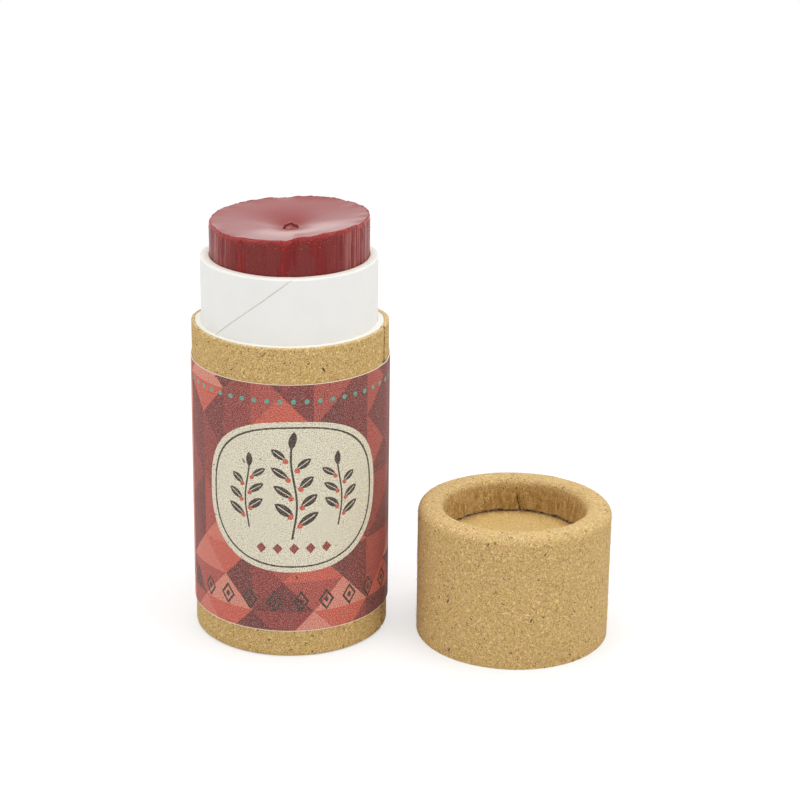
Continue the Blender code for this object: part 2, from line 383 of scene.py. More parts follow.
@dataclass(frozen=True)
class Kraft:
    """Unbleached kraft paper: short fibres every way, cloudy pulp and dark specks of bark."""

    name: str
    base: Colour = (0.518, 0.298, 0.074)
    light: Colour = (0.850, 0.640, 0.295)
    dark: Colour = (0.240, 0.105, 0.018)
    # bark specks; bark also gives the near-black of painted shadow
    bark: Colour = (0.095, 0.048, 0.026)
    pale_wear_and_highlight: Colour = (0.640, 0.500, 0.315)
    # brown of the painted shade
    shade_brown: Colour = (0.300, 0.132, 0.009)
    shift: float = 0.0
    speckling: float = 0.9
    middle: tuple[float, float] | None = None
    # Radii round a disc's middle over which painted shade deepens towards the curl
    shade_zone: tuple[float, float] = (6.6 * MM, 10.6 * MM)
    tooth: float = 0.060 * MM

    def material(self) -> bpy.types.Material:
        """Builds the paper on the sheet's flat coordinates, or a disc's on its place.

        Returns:
            The material.
        """
        shader = Shader(self.name, self.tooth)
        sheet = shader.place() if self.middle else shader.paper()
        worn, crease = (shader.carried(name) for name in (WEAR_AND_HIGHLIGHT, PAINTED_SHADE))
        if self.middle:
            x, y, _ = shader.split(sheet)
            away = ((x - self.middle[0]) ** 2.0 + (y - self.middle[1]) ** 2.0) ** 0.5
            # A disc gets painted shade that deepens towards its edge under the curl
            crease = shader.step(away, *self.shade_zone) ** 2.0 * 0.75
        pale, brown = self.fibres(shader, sheet)
        curly = self.strands(shader, sheet, 0.60, 0.038, 0.9)
        curly = curly.most(self.strands(shader, sheet, 0.42, 0.052, 2.3))
        wiry = self.strands(shader, sheet, 0.50, 0.055, 4.1)
        dots = shader.specks(sheet, self.shift).most(shader.specks(sheet, self.shift + 17.3))
        cloud = shader.noise(sheet, 0.45 / MM, 3.0, 0.6, flat=True)
        grain = shader.noise(sheet, 4.8 / MM, 1.5, 0.65, flat=True)
        grit = shader.noise(sheet, 8.0 / MM, 0.0, 0.5, flat=True)
        stroke = shader.laid(sheet, math.pi / 2, 3.6 * MM, 0.95 * MM, self.shift * MM)
        stroke = shader.step(shader.noise(stroke, 1.0, 3.0, 0.65, 0.6, flat=True), 0.40, 0.60)
        colour = shader.layered(
            self.tinted(0.94, 1.00, 0.70),
            (shader.step(cloud, 0.36, 0.66), self.tinted(1.04, 0.96, 1.34)),
            # paler wear, with painted highlight
            (worn, self.pale_wear_and_highlight),
            # painted shade in creases, grooves and recesses, streaked
            (crease * (0.45 + 0.85 * stroke), self.shade_brown),
            (shader.step(grain, 0.52, 0.72) * 0.60, self.light),
            (shader.step(grain, 0.47, 0.31) * 0.72, self.dark),
            (shader.step(grit, 0.45, 0.30) * 0.70, self.dark),
            (shader.step(grit, 0.55, 0.70) * 0.65, self.light),
            (brown * 0.36, self.dark),
            (pale * 0.38, self.light),
            (wiry * 0.62, self.dark),
            (curly * 0.88, self.light),
            (dots * self.speckling, self.bark),
            # more painted shade, and near-black painted shadow where it is deepest
            (crease * (0.15 + 0.65 * stroke), self.shade_brown),
            (shader.step(crease, 0.90, 0.97) * 0.85, self.bark),
        )
        shader.set(Base_Color=colour, Roughness=0.88, Specular_IOR_Level=0.30)
        shader.bump(grain * 0.35 + curly * 0.40 + pale * 0.2 - wiry * 0.2 + cloud * 0.3, 0.8)
        return shader.material

    def tinted(self, *shares: float) -> Colour:
        """The base with each of its three values multiplied."""
        return tuple(share * value for share, value in zip(shares, self.base))

    def fibres(self, shader: Shader, sheet: object) -> tuple[Wire, Wire]:
        """Masks of the short straight fibres.

        Args:
            shader: The material.
            sheet: The sheet's coordinates.

        Returns:
            1 on the pale ones, and 1 on the brown ones.
        """
        masks = []
        for low, high, start in ((0.53, 0.66, 0.0), (0.41, 0.30, 40.0)):
            found = None
            for turn, long in ((0.80, 1.00), (2.30, 0.85), (1.50, 0.95), (1.15, 0.70)):
                shift = (self.shift + start + 11.0 * turn) * MM
                lay = shader.laid(sheet, turn + 0.01 * start, long * MM, 0.085 * MM, shift)
                layer = shader.step(shader.noise(lay, 1.0, 1.0, 0.5, 0.9, flat=True), low, high)
                found = layer if found is None else found.most(layer)
            masks.append(found)
        return masks[0], masks[1]

    def strands(
        self, shader: Shader, sheet: object, size: float, thin: float, shift: float
    ) -> Wire:
        """Mask of thin curly fibres.

        Args:
            shader: The material.
            sheet: The sheet's coordinates.
            size: How far the curls reach, in millimetres.
            thin: Their thinness, as a share of the noise's range.
            shift: Moves this layer off the others.

        Returns:
            1 along the fibres, which break off here and there.
        """
        moved = shader.laid(sheet, 0.9 * shift, MM, MM, (self.shift + 9.0 * shift) * MM)
        curl = abs(shader.noise(moved, 1.0 / size, 1.0, 0.4, 0.6, flat=True) - 0.5)
        other = shader.laid(sheet, 0.4 + shift, MM, MM, (self.shift + 31.0 + 5.0 * shift) * MM)
        kept = shader.step(shader.noise(other, 1.1 / size, 2.0, 0.5, flat=True), 0.48, 0.58)
        return shader.step(curl, thin, 0.3 * thin) * kept


@dataclass(frozen=True)
class PlainPaper:
    """Smooth paper or board: faint pulp clouds, a fine tooth and a raw side where it is worn."""

    name: str
    colour: Colour
    shade: Colour
    roughness: float
    grain: float = 0.35
    raw: Colour = (0.560, 0.440, 0.240)
    tooth: float = 0.008 * MM

    def material(self) -> bpy.types.Material:
        """Builds the paper on object coordinates.

        Returns:
            The material.
        """
        shader = Shader(self.name, self.tooth)
        place = shader.place()
        cloud = shader.noise(place, 0.35 / MM, 3.0, 0.6)
        fine = shader.noise(place, 6.0 / MM, 2.0, 0.6)
        mask = shader.step(cloud, 0.35, 0.75) * 0.5 + shader.step(fine, 0.45, 0.75) * self.grain
        colour = shader.mix(mask, self.colour, self.shade)
        shader.set(
            Base_Color=shader.mix(shader.carried(WEAR_AND_HIGHLIGHT), colour, self.raw),
            Roughness=self.roughness + 0.06 * fine,
        )
        shader.bump(fine)
        return shader.material


@dataclass(frozen=True)
class WaxTint:
    """Berry wax: glossy on the set top, dragged and scraped down the side."""

    name: str
    deep: Colour = (0.110, 0.009, 0.009)
    plain: Colour = (0.205, 0.017, 0.016)
    dull: Colour = (0.190, 0.030, 0.027)
    bright: Colour = (0.400, 0.024, 0.020)
    dusty: Colour = (0.300, 0.060, 0.054)
    # pale pink of the painted reflections on the sides
    reflection_pink: Colour = (0.580, 0.250, 0.225)
    raw: Colour = (0.230, 0.010, 0.012)
    set_top: Colour = (0.236, 0.029, 0.026)
    # pale colour of the painted highlight on the top
    bloom: Colour = (0.620, 0.370, 0.330)
    radius: float = 11.12 * MM
    tooth: float = 0.035 * MM

    def material(self) -> bpy.types.Material:
        """Builds the wax from the attributes that the stick carries.

        Returns:
            The material.
        """
        shader = Shader(self.name, self.tooth)
        sheet = shader.paper()
        rim, top, pit, bloom = (shader.carried(name) for name in (RIM, TOP, PIT_SHADE, PAINTED_HIGHLIGHT))
        u, _, _ = shader.split(sheet)
        side = 1.0 - top
        drag = self.streaks(shader, sheet, 9.0, 0.21, 0.0)
        zone = shader.step(self.streaks(shader, sheet, 15.0, 1.90, 0.01), 0.50, 0.58)
        patch = self.streaks(shader, sheet, 3.0, 0.50, 0.02)
        rare = self.streaks(shader, sheet, 16.0, 1.10, 0.03)
        pale = self.streaks(shader, sheet, 14.0, 0.27, 0.04)
        crumb = shader.noise(shader.place(), 4.2 / MM, 3.0, 0.7)
        # 1 on the sides facing +X and -X, where the painted reflections go
        ends = shader.step(abs((u / self.radius).cos()), 0.60, 0.82)
        rough = 0.25 + 0.75 * zone
        scrape = shader.step(rare, 0.57, 0.63) * shader.step(drag, 0.48, 0.57)
        scrape = scrape * shader.step(patch, 0.42, 0.54)
        chipped = rim * shader.step(crumb, 0.40, 0.56)
        colour = shader.layered(
            self.dull,
            (zone, self.plain),
            (shader.step(drag, 0.55, 0.70) * rough * 0.22, self.dusty),
            (shader.step(drag, 0.46, 0.34) * rough * 0.42, self.deep),
            # painted reflection: pale streaks on the sides facing left and right
            (ends * shader.step(pale, 0.50, 0.60) * 0.48, self.reflection_pink),
            (scrape * 0.60, self.bright),
            (shader.step(crumb, 0.52, 0.70) * side * 0.35, self.dusty),
            (shader.step(crumb, 0.48, 0.30) * side * 0.35, self.deep),
            (top, self.set_top),
            # painted highlight on the front of the sunken top
            (bloom * (0.85 + 0.3 * crumb) * 0.38, self.bloom),
            (rim * 0.75, self.raw),
            (chipped * 0.8, self.bright),
            # painted shade along the pit's edge
            (pit * 0.9, self.deep),
        )
        coat = 0.24 * side + top * (0.82 + 0.18 * bloom) + 0.5 * rim
        shader.set(
            Base_Color=colour,
            Roughness=0.40 + 0.14 * patch + top * (-0.08) + chipped * 0.05,
            Coat_Weight=coat * (1.0 - 0.8 * pit),
            Coat_Roughness=0.19,
            Coat_IOR=1.46,
            Specular_IOR_Level=0.06,
        )
        dragged = drag * 0.55 * side + patch * 0.2 * side
        shader.bump(dragged + scrape * 0.4 + crumb * (0.10 + rim * 0.9))
        return shader.material

    def streaks(self, shader: Shader, sheet: object, high: float, wide: float, shift: float) -> Wire:
        """Upright streaks of this height and width, in millimetres."""
        place = shader.laid(sheet, math.pi / 2, high * MM, wide * MM, shift)
        return shader.noise(place, 1.0, 3.0, 0.6, flat=True)


@dataclass(frozen=True)
class PrintedLabel:
    """Uncoated label: facets in berry reds, and a cream oval with a plain sprig of leaves.

    Lengths in the print's own methods are in millimetres, from the label's lower left corner.
    """

    name: str
    width: float
    height: float
    maroon: Colour = (0.175, 0.034, 0.034)
    wine: Colour = (0.215, 0.036, 0.036)
    crimson: Colour = (0.300, 0.050, 0.045)
    brick: Colour = (0.430, 0.078, 0.062)
    coral: Colour = (0.620, 0.115, 0.075)
    rose: Colour = (0.660, 0.180, 0.130)
    salmon: Colour = (0.720, 0.260, 0.190)
    cream: Colour = (0.800, 0.750, 0.580)
    charcoal: Colour = (0.032, 0.026, 0.022)
    teal: Colour = (0.100, 0.400, 0.300)
    stock: Colour = (0.800, 0.725, 0.585)
    pore: Colour = (0.080, 0.020, 0.016)
    lap: float = 84.7
    lozenge_row: float = 4.6
    bead_row: float = 34.4
    middle: tuple[float, float] = (19.2, 20.3)
    half_width: float = 13.1
    half_height: float = 11.2
    squareness: float = 2.4
    leaf_turn: float = 0.62
    tooth: float = 0.020 * MM

    def material(self) -> bpy.types.Material:
        """Builds the print on the label's flat coordinates.

        Returns:
            The material.
        """
        shader = Shader(self.name, self.tooth)
        sheet = shader.paper()
        u, v = (part / MM for part in shader.split(sheet)[:2])
        grain = shader.noise(sheet, 7.4 / MM, 1.0, 0.6, flat=True)
        fibre = shader.noise(shader.laid(sheet, 0.5, 0.9 * MM, 0.12 * MM, 0.0), 1.0, 2.0, flat=True)
        rough = (shader.noise(sheet, 2.2 / MM, 3.0, 0.7, flat=True) - 0.5) * 0.30
        colour = shader.mix(u > self.lap, self.facets(shader, u, v), self.salmon)
        colour = self.border(shader, colour, u, v, rough)
        colour = self.oval(shader, colour, u, v, rough)
        colour = shader.layered(
            colour,
            (shader.step(grain, 0.52, 0.72) * 0.30, self.stock),
            (shader.step(grain, 0.50, 0.30) * 0.78, self.pore),
            (shader.step(fibre, 0.60, 0.76) * 0.16, self.stock),
            (shader.specks(sheet, 210.0) * 0.7, self.charcoal),
            (self.bare_edge(v, rough), self.stock),
        )
        shader.set(Base_Color=colour, Roughness=0.60 + 0.10 * grain, Specular_IOR_Level=0.32)
        shader.bump(grain * 0.5 + fibre * 0.5, 0.8)
        return shader.material

    def facets(self, shader: Shader, u: Wire, v: Wire) -> object:
        """Harlequin diamonds, each split into two tones.

        Args:
            shader: The material.
            u: Place across.
            v: Place up.

        Returns:
            Their colour.
        """
        across = u / (self.width / 10.0)
        up = v / (self.height / 4.0) + 0.18
        right = across + up
        left = across - up
        cell = shader.join(right.floor(), left.floor(), 3.0)
        toss = shader.node("ShaderNodeTexWhiteNoise", {"noise_dimensions": "2D"}, {0: cell})
        tone = Wire(shader, toss.outputs["Value"])
        turned, lift, _ = shader.split(toss.outputs["Color"])
        in_right = right - right.floor()
        in_left = left - left.floor()
        side = (in_right + in_left) > 1.0
        upper = in_right > in_left
        half = side + (upper - side) * (turned > 0.5)
        stops = [
            (0.0, self.maroon),
            (0.17, self.wine),
            (0.30, self.crimson),
            (0.42, self.brick),
            (0.54, self.maroon),
            (0.64, self.coral),
            (0.76, self.rose),
            (0.88, self.salmon),
        ]
        picked = tone * 0.72 + half * (0.10 + 0.26 * lift)
        ramp = shader.node("ShaderNodeValToRGB", {"ramp": stops}, {0: picked})
        ramp.color_ramp.interpolation = "CONSTANT"
        return ramp.outputs[0]

    def border(self, shader: Shader, under: object, u: Wire, v: Wire, rough: Wire) -> object:
        """A row of small lozenges near the foot and a row of teal beads near the top.

        Args:
            shader: The material.
            under: The colour below them.
            u: Place across.
            v: Place up.
            rough: Unevenness of the printed edges.

        Returns:
            The colour with both rows.
        """
        pitch = self.width / 24.0
        beside = abs(u / pitch - (u / pitch).floor() - 0.5) * pitch
        away = beside * 1.25 + abs(v - self.lozenge_row) * 0.9
        ring = abs(away - 1.25 + rough) < 0.24
        heart = (away + rough) < 0.48
        half = pitch / 2
        near = abs(u / half - (u / half).floor() - 0.5) * half
        above = v - self.bead_row
        bead = (near * near + above * above) ** 0.5 + rough * 0.4
        return shader.layered(under, (ring.most(heart), self.charcoal), (bead < 0.34, self.teal))

    def oval(self, shader: Shader, under: object, u: Wire, v: Wire, rough: Wire) -> object:
        """The cream oval with its rule, three sprigs and a chain of small lozenges.

        Args:
            shader: The material.
            under: The colour below it.
            u: Place across.
            v: Place up.
            rough: Unevenness of the printed edges.

        Returns:
            The colour with the oval.
        """
        x = u - self.middle[0]
        y = v - self.middle[1]
        power = self.squareness
        reach = abs(x / self.half_width) ** power + abs(y / self.half_height) ** power
        reach = reach ** (1.0 / power) + rough * 0.05
        leaves, berries = self.sprig(x, y + 4.6, 2.75, 4)
        more_leaves, more_berries = self.sprig((abs(x) - 6.6) * 1.2, (y + 3.4) * 1.2, 2.8, 3)
        link = abs(x / 2.3 - (x / 2.3 + 0.5).floor()) * 2.3
        chain = ((link + abs(y + 7.6) * 0.9 + rough) < 0.72) * (abs(x) < 5.75)
        return shader.layered(
            under,
            (reach < 1.0, self.cream),
            (abs(reach - 0.925) < 0.011, self.charcoal),
            (leaves.most(more_leaves), self.charcoal),
            (berries.most(more_berries), self.coral),
            (chain, self.crimson),
        )

    def sprig(self, x: Wire, y: Wire, pitch: float, pairs: int) -> tuple[Wire, Wire]:
        """A stem with leaves on both sides by turns.

        Args:
            x: Place across, from the stem.
            y: Place up, from the stem's foot.
            pitch: Distance between leaves on one side.
            pairs: Number of leaves on one side.

        Returns:
            Masks of the leaves with their stem, and of the berries.
        """
        bent = x - 0.40 * (y * 0.45).sin()
        left = bent < 0.0
        raised = y - left * (pitch / 2)
        order = (raised / pitch).floor()
        held = (order > -0.5) * (order < pairs - 0.5)
        up = raised - (order + 0.5) * pitch
        out = abs(bent)
        off = out - 1.75
        shrink = 1.0 + order * 0.10
        along = (off * math.cos(self.leaf_turn) + up * math.sin(self.leaf_turn)) * shrink
        side = abs(up * math.cos(self.leaf_turn) - off * math.sin(self.leaf_turn)) * shrink
        leaf = (along * along + (side + 1.55) ** 2.0) ** 0.5 < 2.26
        vein = (side < 0.07) * (along < 1.1)
        leaf = leaf * (1.0 - vein) * held
        stem = (out < 0.15) * (y > -1.6) * (y < pitch * (pairs + 0.6))
        tip = y - pitch * (pairs + 0.75)
        bud = (tip * tip + (out + 1.30) ** 2.0) ** 0.5 < 1.86
        berry = ((out - 0.75) ** 2.0 + (up + pitch * 0.36) ** 2.0) ** 0.5 < 0.40
        return leaf.most(stem).most(bud), berry * held

    def bare_edge(self, v: Wire, rough: Wire) -> Wire:
        """1 along the cut edges at the top and the foot, where the ink is worn off."""
        return (v > self.height - 0.05 + rough * 0.2).most(v < 0.10 + rough * 0.2)


# Turned sheets of paper


def in_scene(name: str, data: bpy.types.ID) -> bpy.types.Object:
    """Makes an object and links it to the scene.

    Args:
        name: Its name.
        data: Its mesh, lamp or camera.

    Returns:
        The object.
    """
    made = bpy.data.objects.new(name, data)
    bpy.context.scene.collection.objects.link(made)
    return made


@dataclass
class Profile:
    """The line that a sheet follows in the plane of its axis, as radius and height."""

    points: Line = field(default_factory=list)

    def arc(
        self, radius: float, height: float, size: float, start: float, sweep: float, steps: int
    ) -> None:
        """Adds an arc.

        Args:
            radius: Radius at which the arc's centre lies.
            height: Height of the centre.
            size: The arc's own radius.
            start: Angle of its first point, in degrees.
            sweep: Angle that it turns through, anticlockwise if positive.
            steps: Number of chords.
        """
        for i in range(steps + 1):
            angle = math.radians(start + sweep * i / steps)
            self.points.append((radius + size * math.cos(angle), height + size * math.sin(angle)))

    def go(self, radius: float, height: float, spacing: float = 1.0) -> None:
        """Adds a straight run, or starts the line.

        Args:
            radius: Radius at which the run ends.
            height: Height at which it ends.
            spacing: Length of its steps, as near as they come out even.
        """
        if not self.points:
            self.points.append((radius, height))
            return
        last = self.points[-1]
        steps = max(1, round(math.dist(last, (radius, height)) / spacing))
        for i in range(1, steps + 1):
            share = i / steps
            self.points.append(
                (last[0] + (radius - last[0]) * share, last[1] + (height - last[1]) * share)
            )

    def closed(self) -> Profile:
        """The same line, brought back to its first point."""
        return Profile(self.points + self.points[:1])

    def turned_over(self, height: float) -> Profile:
        """The same line upside down within this height."""
        return Profile([(radius, height - level) for radius, level in self.points])

    def host(self, name: str) -> bpy.types.Object:
        """Makes the line an edge mesh that carries the length run along it.

        Args:
            name: Name of the host object.

        Returns:
            An object that holds the line in the XZ plane.
        """
        kept = self.points[:1]
        for point in self.points[1:]:
            if math.dist(point, kept[-1]) > SAME_POINT:
                kept.append(point)
        mesh = bpy.data.meshes.new(name)
        edges = [(i, i + 1) for i in range(len(kept) - 1)]
        mesh.from_pydata([(radius, 0.0, height) for radius, height in kept], edges, [])
        lengths = [0.0]
        for near, far in zip(kept, kept[1:]):
            lengths.append(lengths[-1] + math.dist(near, far))
        mesh.attributes.new(RUN, "FLOAT", "POINT").data.foreach_set("value", lengths)
        return in_scene(name, mesh)


@dataclass(frozen=True)
class Seam:
    """Where a turned sheet's two ends meet; a wound one falls by its pitch in each turn."""

    degrees: float = 0.0
    gap: float = 0.0
    pitch: float = 1.0e6
    top: float = 0.0


class Tree(Graph):
    """A geometry tree with named inputs that runs once and leaves a plain mesh."""

    def __init__(self, name: str) -> None:
        """Starts a tree with its geometry input and output."""
        group = bpy.data.node_groups.new(name, "GeometryNodeTree")
        super().__init__(group)
        group.interface.new_socket("Geometry", in_out="INPUT", socket_type="NodeSocketGeometry")
        group.interface.new_socket("Geometry", in_out="OUTPUT", socket_type="NodeSocketGeometry")
        self.source = self.node("NodeGroupInput")

    def takes(self, name: str, kind: str = "Float") -> Wire:
        """Adds a named input.

        Args:
            name: What the input is called.
            kind: The end of its socket type, such as Float, Int or Material.

        Returns:
            The input as a wire.
        """
        self.tree.interface.new_socket(name, in_out="INPUT", socket_type=f"NodeSocket{kind}")
        return Wire(self, self.source.outputs[name])

    def place(self) -> bpy.types.NodeSocket:
        """The position of each point."""
        return self.node("GeometryNodeInputPosition").outputs[0]

    def ends(self, geometry: object, finish: Wire) -> None:
        """Realises what the tree made, gives it its material and closes the tree.

        Args:
            geometry: What the tree made.
            finish: Its material.
        """
        real = self.node("GeometryNodeRealizeInstances", {}, {0: geometry})
        dressed = self.node(
            "GeometryNodeSetMaterial", {}, {"Geometry": real.outputs[0], "Material": finish}
        )
        self.node("NodeGroupOutput", {}, {0: dressed.outputs[0]})

    def grow(self, name: str, host: bpy.types.Object, values: dict[str, object]) -> bpy.types.Object:
        """Runs the tree on a host object.

        Args:
            name: Name of the piece that comes out.
            host: Object whose mesh the tree is given. It is removed afterwards.
            values: The tree's inputs by name.

        Returns:
            The piece, a plain mesh at the origin.
        """
        modifier = host.modifiers.new(self.tree.name, "NODES")
        modifier.node_group = self.tree
        for item in self.tree.interface.items_tree:
            if item.in_out == "INPUT" and item.name in values:
                modifier[item.identifier] = values[item.name]
        graph = bpy.context.evaluated_depsgraph_get()
        mesh = bpy.data.meshes.new_from_object(host.evaluated_get(graph), depsgraph=graph)
        mesh.name = name
        host.modifiers.remove(modifier)
        bpy.data.objects.remove(host, do_unlink=True)
        return in_scene(name, mesh)


class TurningTree(Tree):
    """Turns a profile round an upright axis into a sheet with a butt seam, straight or wound."""

    def __init__(self) -> None:
        """Builds the tree."""
        super().__init__("turned_sheet")
        columns = self.takes("Columns", "Int")
        start = self.takes("Seam angle")
        slit = self.takes("Seam slit")
        pitch = self.takes("Winding pitch")
        top = self.takes("Seam top")
        centre = self.takes("Centre", "Vector")
        finish = self.takes("Material", "Material")
        line = self.source.outputs["Geometry"]
        counted = self.node("GeometryNodeAttributeDomainSize", {}, {"Geometry": line})
        rows = Wire(self, counted.outputs["Point Count"])
        grid = self.node(
            "GeometryNodeMeshGrid",
            {},
            {"Size X": 1.0, "Size Y": 1.0, "Vertices X": columns + 1, "Vertices Y": rows},
        )
        across, along, _ = self.split(self.place())
        row = self.math("ROUND", (along + 0.5) * (rows - 1))
        named = self.node("GeometryNodeInputNamedAttribute", {"data_type": "FLOAT"}, {"Name": RUN})
        length = self.sampled(line, named.outputs[0], row, "FLOAT")
        out, _, height = self.split(self.sampled(line, self.place(), row, "FLOAT_VECTOR"))
        turned = slit / 2 + (across + 0.5) * (math.tau - slit)
        angle = start + turned - (top - height) / pitch * math.tau
        spot = self.join(out * angle.cos(), out * angle.sin(), height)
        moved = self.node("ShaderNodeVectorMath", {"operation": "ADD"}, {0: spot, 1: centre})
        sheet = grid.outputs["Mesh"]
        for name, value in ((TURNED, turned), (RUN, length)):
            sheet = self.node(
                "GeometryNodeStoreNamedAttribute",
                {"data_type": "FLOAT", "domain": "POINT"},
                {"Geometry": sheet, "Name": name, "Value": value},
            ).outputs[0]
        sheet = self.node(
            "GeometryNodeSetPosition", {}, {"Geometry": sheet, "Position": moved.outputs[0]}
        ).outputs[0]
        self.ends(sheet, finish)

    def sampled(self, line: object, value: object, row: Wire, kind: str) -> bpy.types.NodeSocket:
        """Reads a value of the profile at this row."""
        return self.node(
            "GeometryNodeSampleIndex",
            {"data_type": kind, "domain": "POINT"},
            {"Geometry": line, "Value": value, "Index": row},
        ).outputs[0]


class Unevenness:
    """Smooth random numbers from -1 to 1 that repeat after one turn."""

    def __init__(self, seed: int, columns: int, rows: int = 2) -> None:
        """Fixes the numbers of this many places round and along."""
        self.values = np.random.default_rng(seed).uniform(-1.0, 1.0, (max(rows, 2), columns))

    def at(self, angle: np.ndarray, share: np.ndarray | float = 0.0) -> np.ndarray:
        """Reads the numbers.

        Args:
            angle: Angle round the axis, in radians.
            share: Place along the other way, from 0 to 1.

        Returns:
            The number at each point.
        """
        rows, columns = self.values.shape
        across = np.mod(angle / math.tau, 1.0) * columns
        along = np.clip(share, 0.0, 1.0) * (rows - 1) + np.zeros_like(across)
        left = np.floor(across).astype(int)
        low = np.minimum(np.floor(along).astype(int), rows - 2)
        right_share = smooth(across - left)
        high_share = smooth(along - low)
        left = left % columns
        right = (left + 1) % columns
        lower = self.values[low, left] * (1 - right_share) + self.values[low, right] * right_share
        upper = (
            self.values[low + 1, left] * (1 - right_share)
            + self.values[low + 1, right] * right_share
        )
        return lower * (1 - high_share) + upper * high_share


def smooth(share: np.ndarray) -> np.ndarray:
    """Eases a share from 0 to 1."""
    held = np.clip(share, 0.0, 1.0)
    return held * held * (3.0 - 2.0 * held)


def rise(values: np.ndarray, start: float, end: float) -> np.ndarray:
    """Rises smoothly from 0 at start to 1 at end, or falls if end is the smaller."""
    return smooth((values - start) / (end - start))


def hump(off: np.ndarray, width: float) -> np.ndarray:
    """1 where this distance is 0, and next to nothing beyond twice the width."""
    return np.exp(-((off / width) ** 2))


def at_back(angle: np.ndarray) -> np.ndarray:
    """Rises from 0 on the near half of a tube to 1 on the far half, where the cut tops are lower."""
    return smooth((np.sin(angle) + 0.12) / 0.70)


def off_angle(angle: np.ndarray, degrees: float) -> np.ndarray:
    """How far each angle lies from this one, in radians, from -pi to pi."""
    return np.mod(angle - math.radians(degrees) + math.pi, math.tau) - math.pi


class Sheet:
    """A turned sheet whose points can be moved in its own terms before it is closed."""

    def __init__(
        self,
        name: str,
        profile: Profile,
        seam: Seam,
        axis: Vector,
        columns: int,
        finish: bpy.types.Material,
        tree: TurningTree,
    ) -> None:
        """Turns the profile.

        Args:
            name: Name of the piece.
            profile: Its section.
            seam: Where its ends meet.
            axis: Foot of its axis.
            columns: Number of facets round.
            finish: Its material.
            tree: The tree that turns it.
        """
        self.axis = axis
        self.broad = max(radius for radius, _ in profile.points)
        self.piece = tree.grow(
            name,
            profile.host(name + "_line"),
            {
                "Columns": columns,
                "Seam angle": math.radians(seam.degrees),
                "Seam slit": seam.gap / self.broad,
                "Winding pitch": seam.pitch,
                "Seam top": seam.top,
                "Centre": tuple(axis),
                "Material": finish,
            },
        )
        mesh = self.piece.data
        places = np.empty(len(mesh.vertices) * 3, np.float32)
        mesh.vertices.foreach_get("co", places)
        x, y, z = places.reshape(-1, 3).astype(float).T
        self.radius = np.hypot(x - axis.x, y - axis.y)
        self.angle = np.arctan2(y - axis.y, x - axis.x)
        self.height = z
        self.turned = self.read(TURNED)
        self.run = self.read(RUN)

    def read(self, name: str) -> np.ndarray:
        """Reads an attribute of the points.

        Args:
            name: The attribute's name.

        Returns:
            Its value at each point.
        """
        values = np.empty(len(self.piece.data.vertices), np.float32)
        self.piece.data.attributes[name].data.foreach_get("value", values)
        return values.astype(float)

    def keep(self, name: str, values: np.ndarray) -> None:
        """Stores a number for each point, for the material to read."""
        layer = self.piece.data.attributes.new(name, "FLOAT", "POINT")
        layer.data.foreach_set("value", values.astype(np.float32))

    def close(self, sharp_degrees: float = 42.0) -> bpy.types.Object:
        """Writes the points back, lays the sheet's flat map, and closes seams, ends and poles.

        Args:
            sharp_degrees: Edges that turn more than this stay sharp.

        Returns:
            The finished piece.
        """
        mesh = self.piece.data
        x = self.axis.x + self.radius * np.cos(self.angle)
        y = self.axis.y + self.radius * np.sin(self.angle)
        places = np.stack((x, y, self.height), axis=1).astype(np.float32)
        mesh.vertices.foreach_set("co", places.ravel())
        corners = np.empty(len(mesh.loops), np.int32)
        mesh.loops.foreach_get("vertex_index", corners)
        flat = np.stack((self.turned * self.broad, self.run), axis=1)[corners]
        for layer in list(mesh.uv_layers):
            mesh.uv_layers.remove(layer)
        mesh.uv_layers.new(name=SHEET_MAP).data.foreach_set("uv", flat.astype(np.float32).ravel())
        made = bmesh.new()
        made.from_mesh(mesh)
        bmesh.ops.remove_doubles(made, verts=made.verts, dist=MERGED)
        bmesh.ops.dissolve_degenerate(made, edges=made.edges, dist=MERGED)
        bmesh.ops.holes_fill(made, edges=made.edges, sides=0)
        bmesh.ops.recalc_face_normals(made, faces=made.faces)
        made.to_mesh(mesh)
        made.free()
        mesh.shade_smooth()
        mesh.set_sharp_from_angle(angle=math.radians(sharp_degrees))
        return self.piece


def off_place(sheet: Sheet, middle: tuple[float, float]) -> tuple[np.ndarray, np.ndarray]:
    """How far each point of a sheet lies from a place near its axis.

    Args:
        sheet: The sheet.
        middle: The place, off the axis.

    Returns:
        The distances along X and along Y.
    """
    across = sheet.radius * np.cos(sheet.angle) - middle[0]
    ahead = sheet.radius * np.sin(sheet.angle) - middle[1]
    return across, ahead


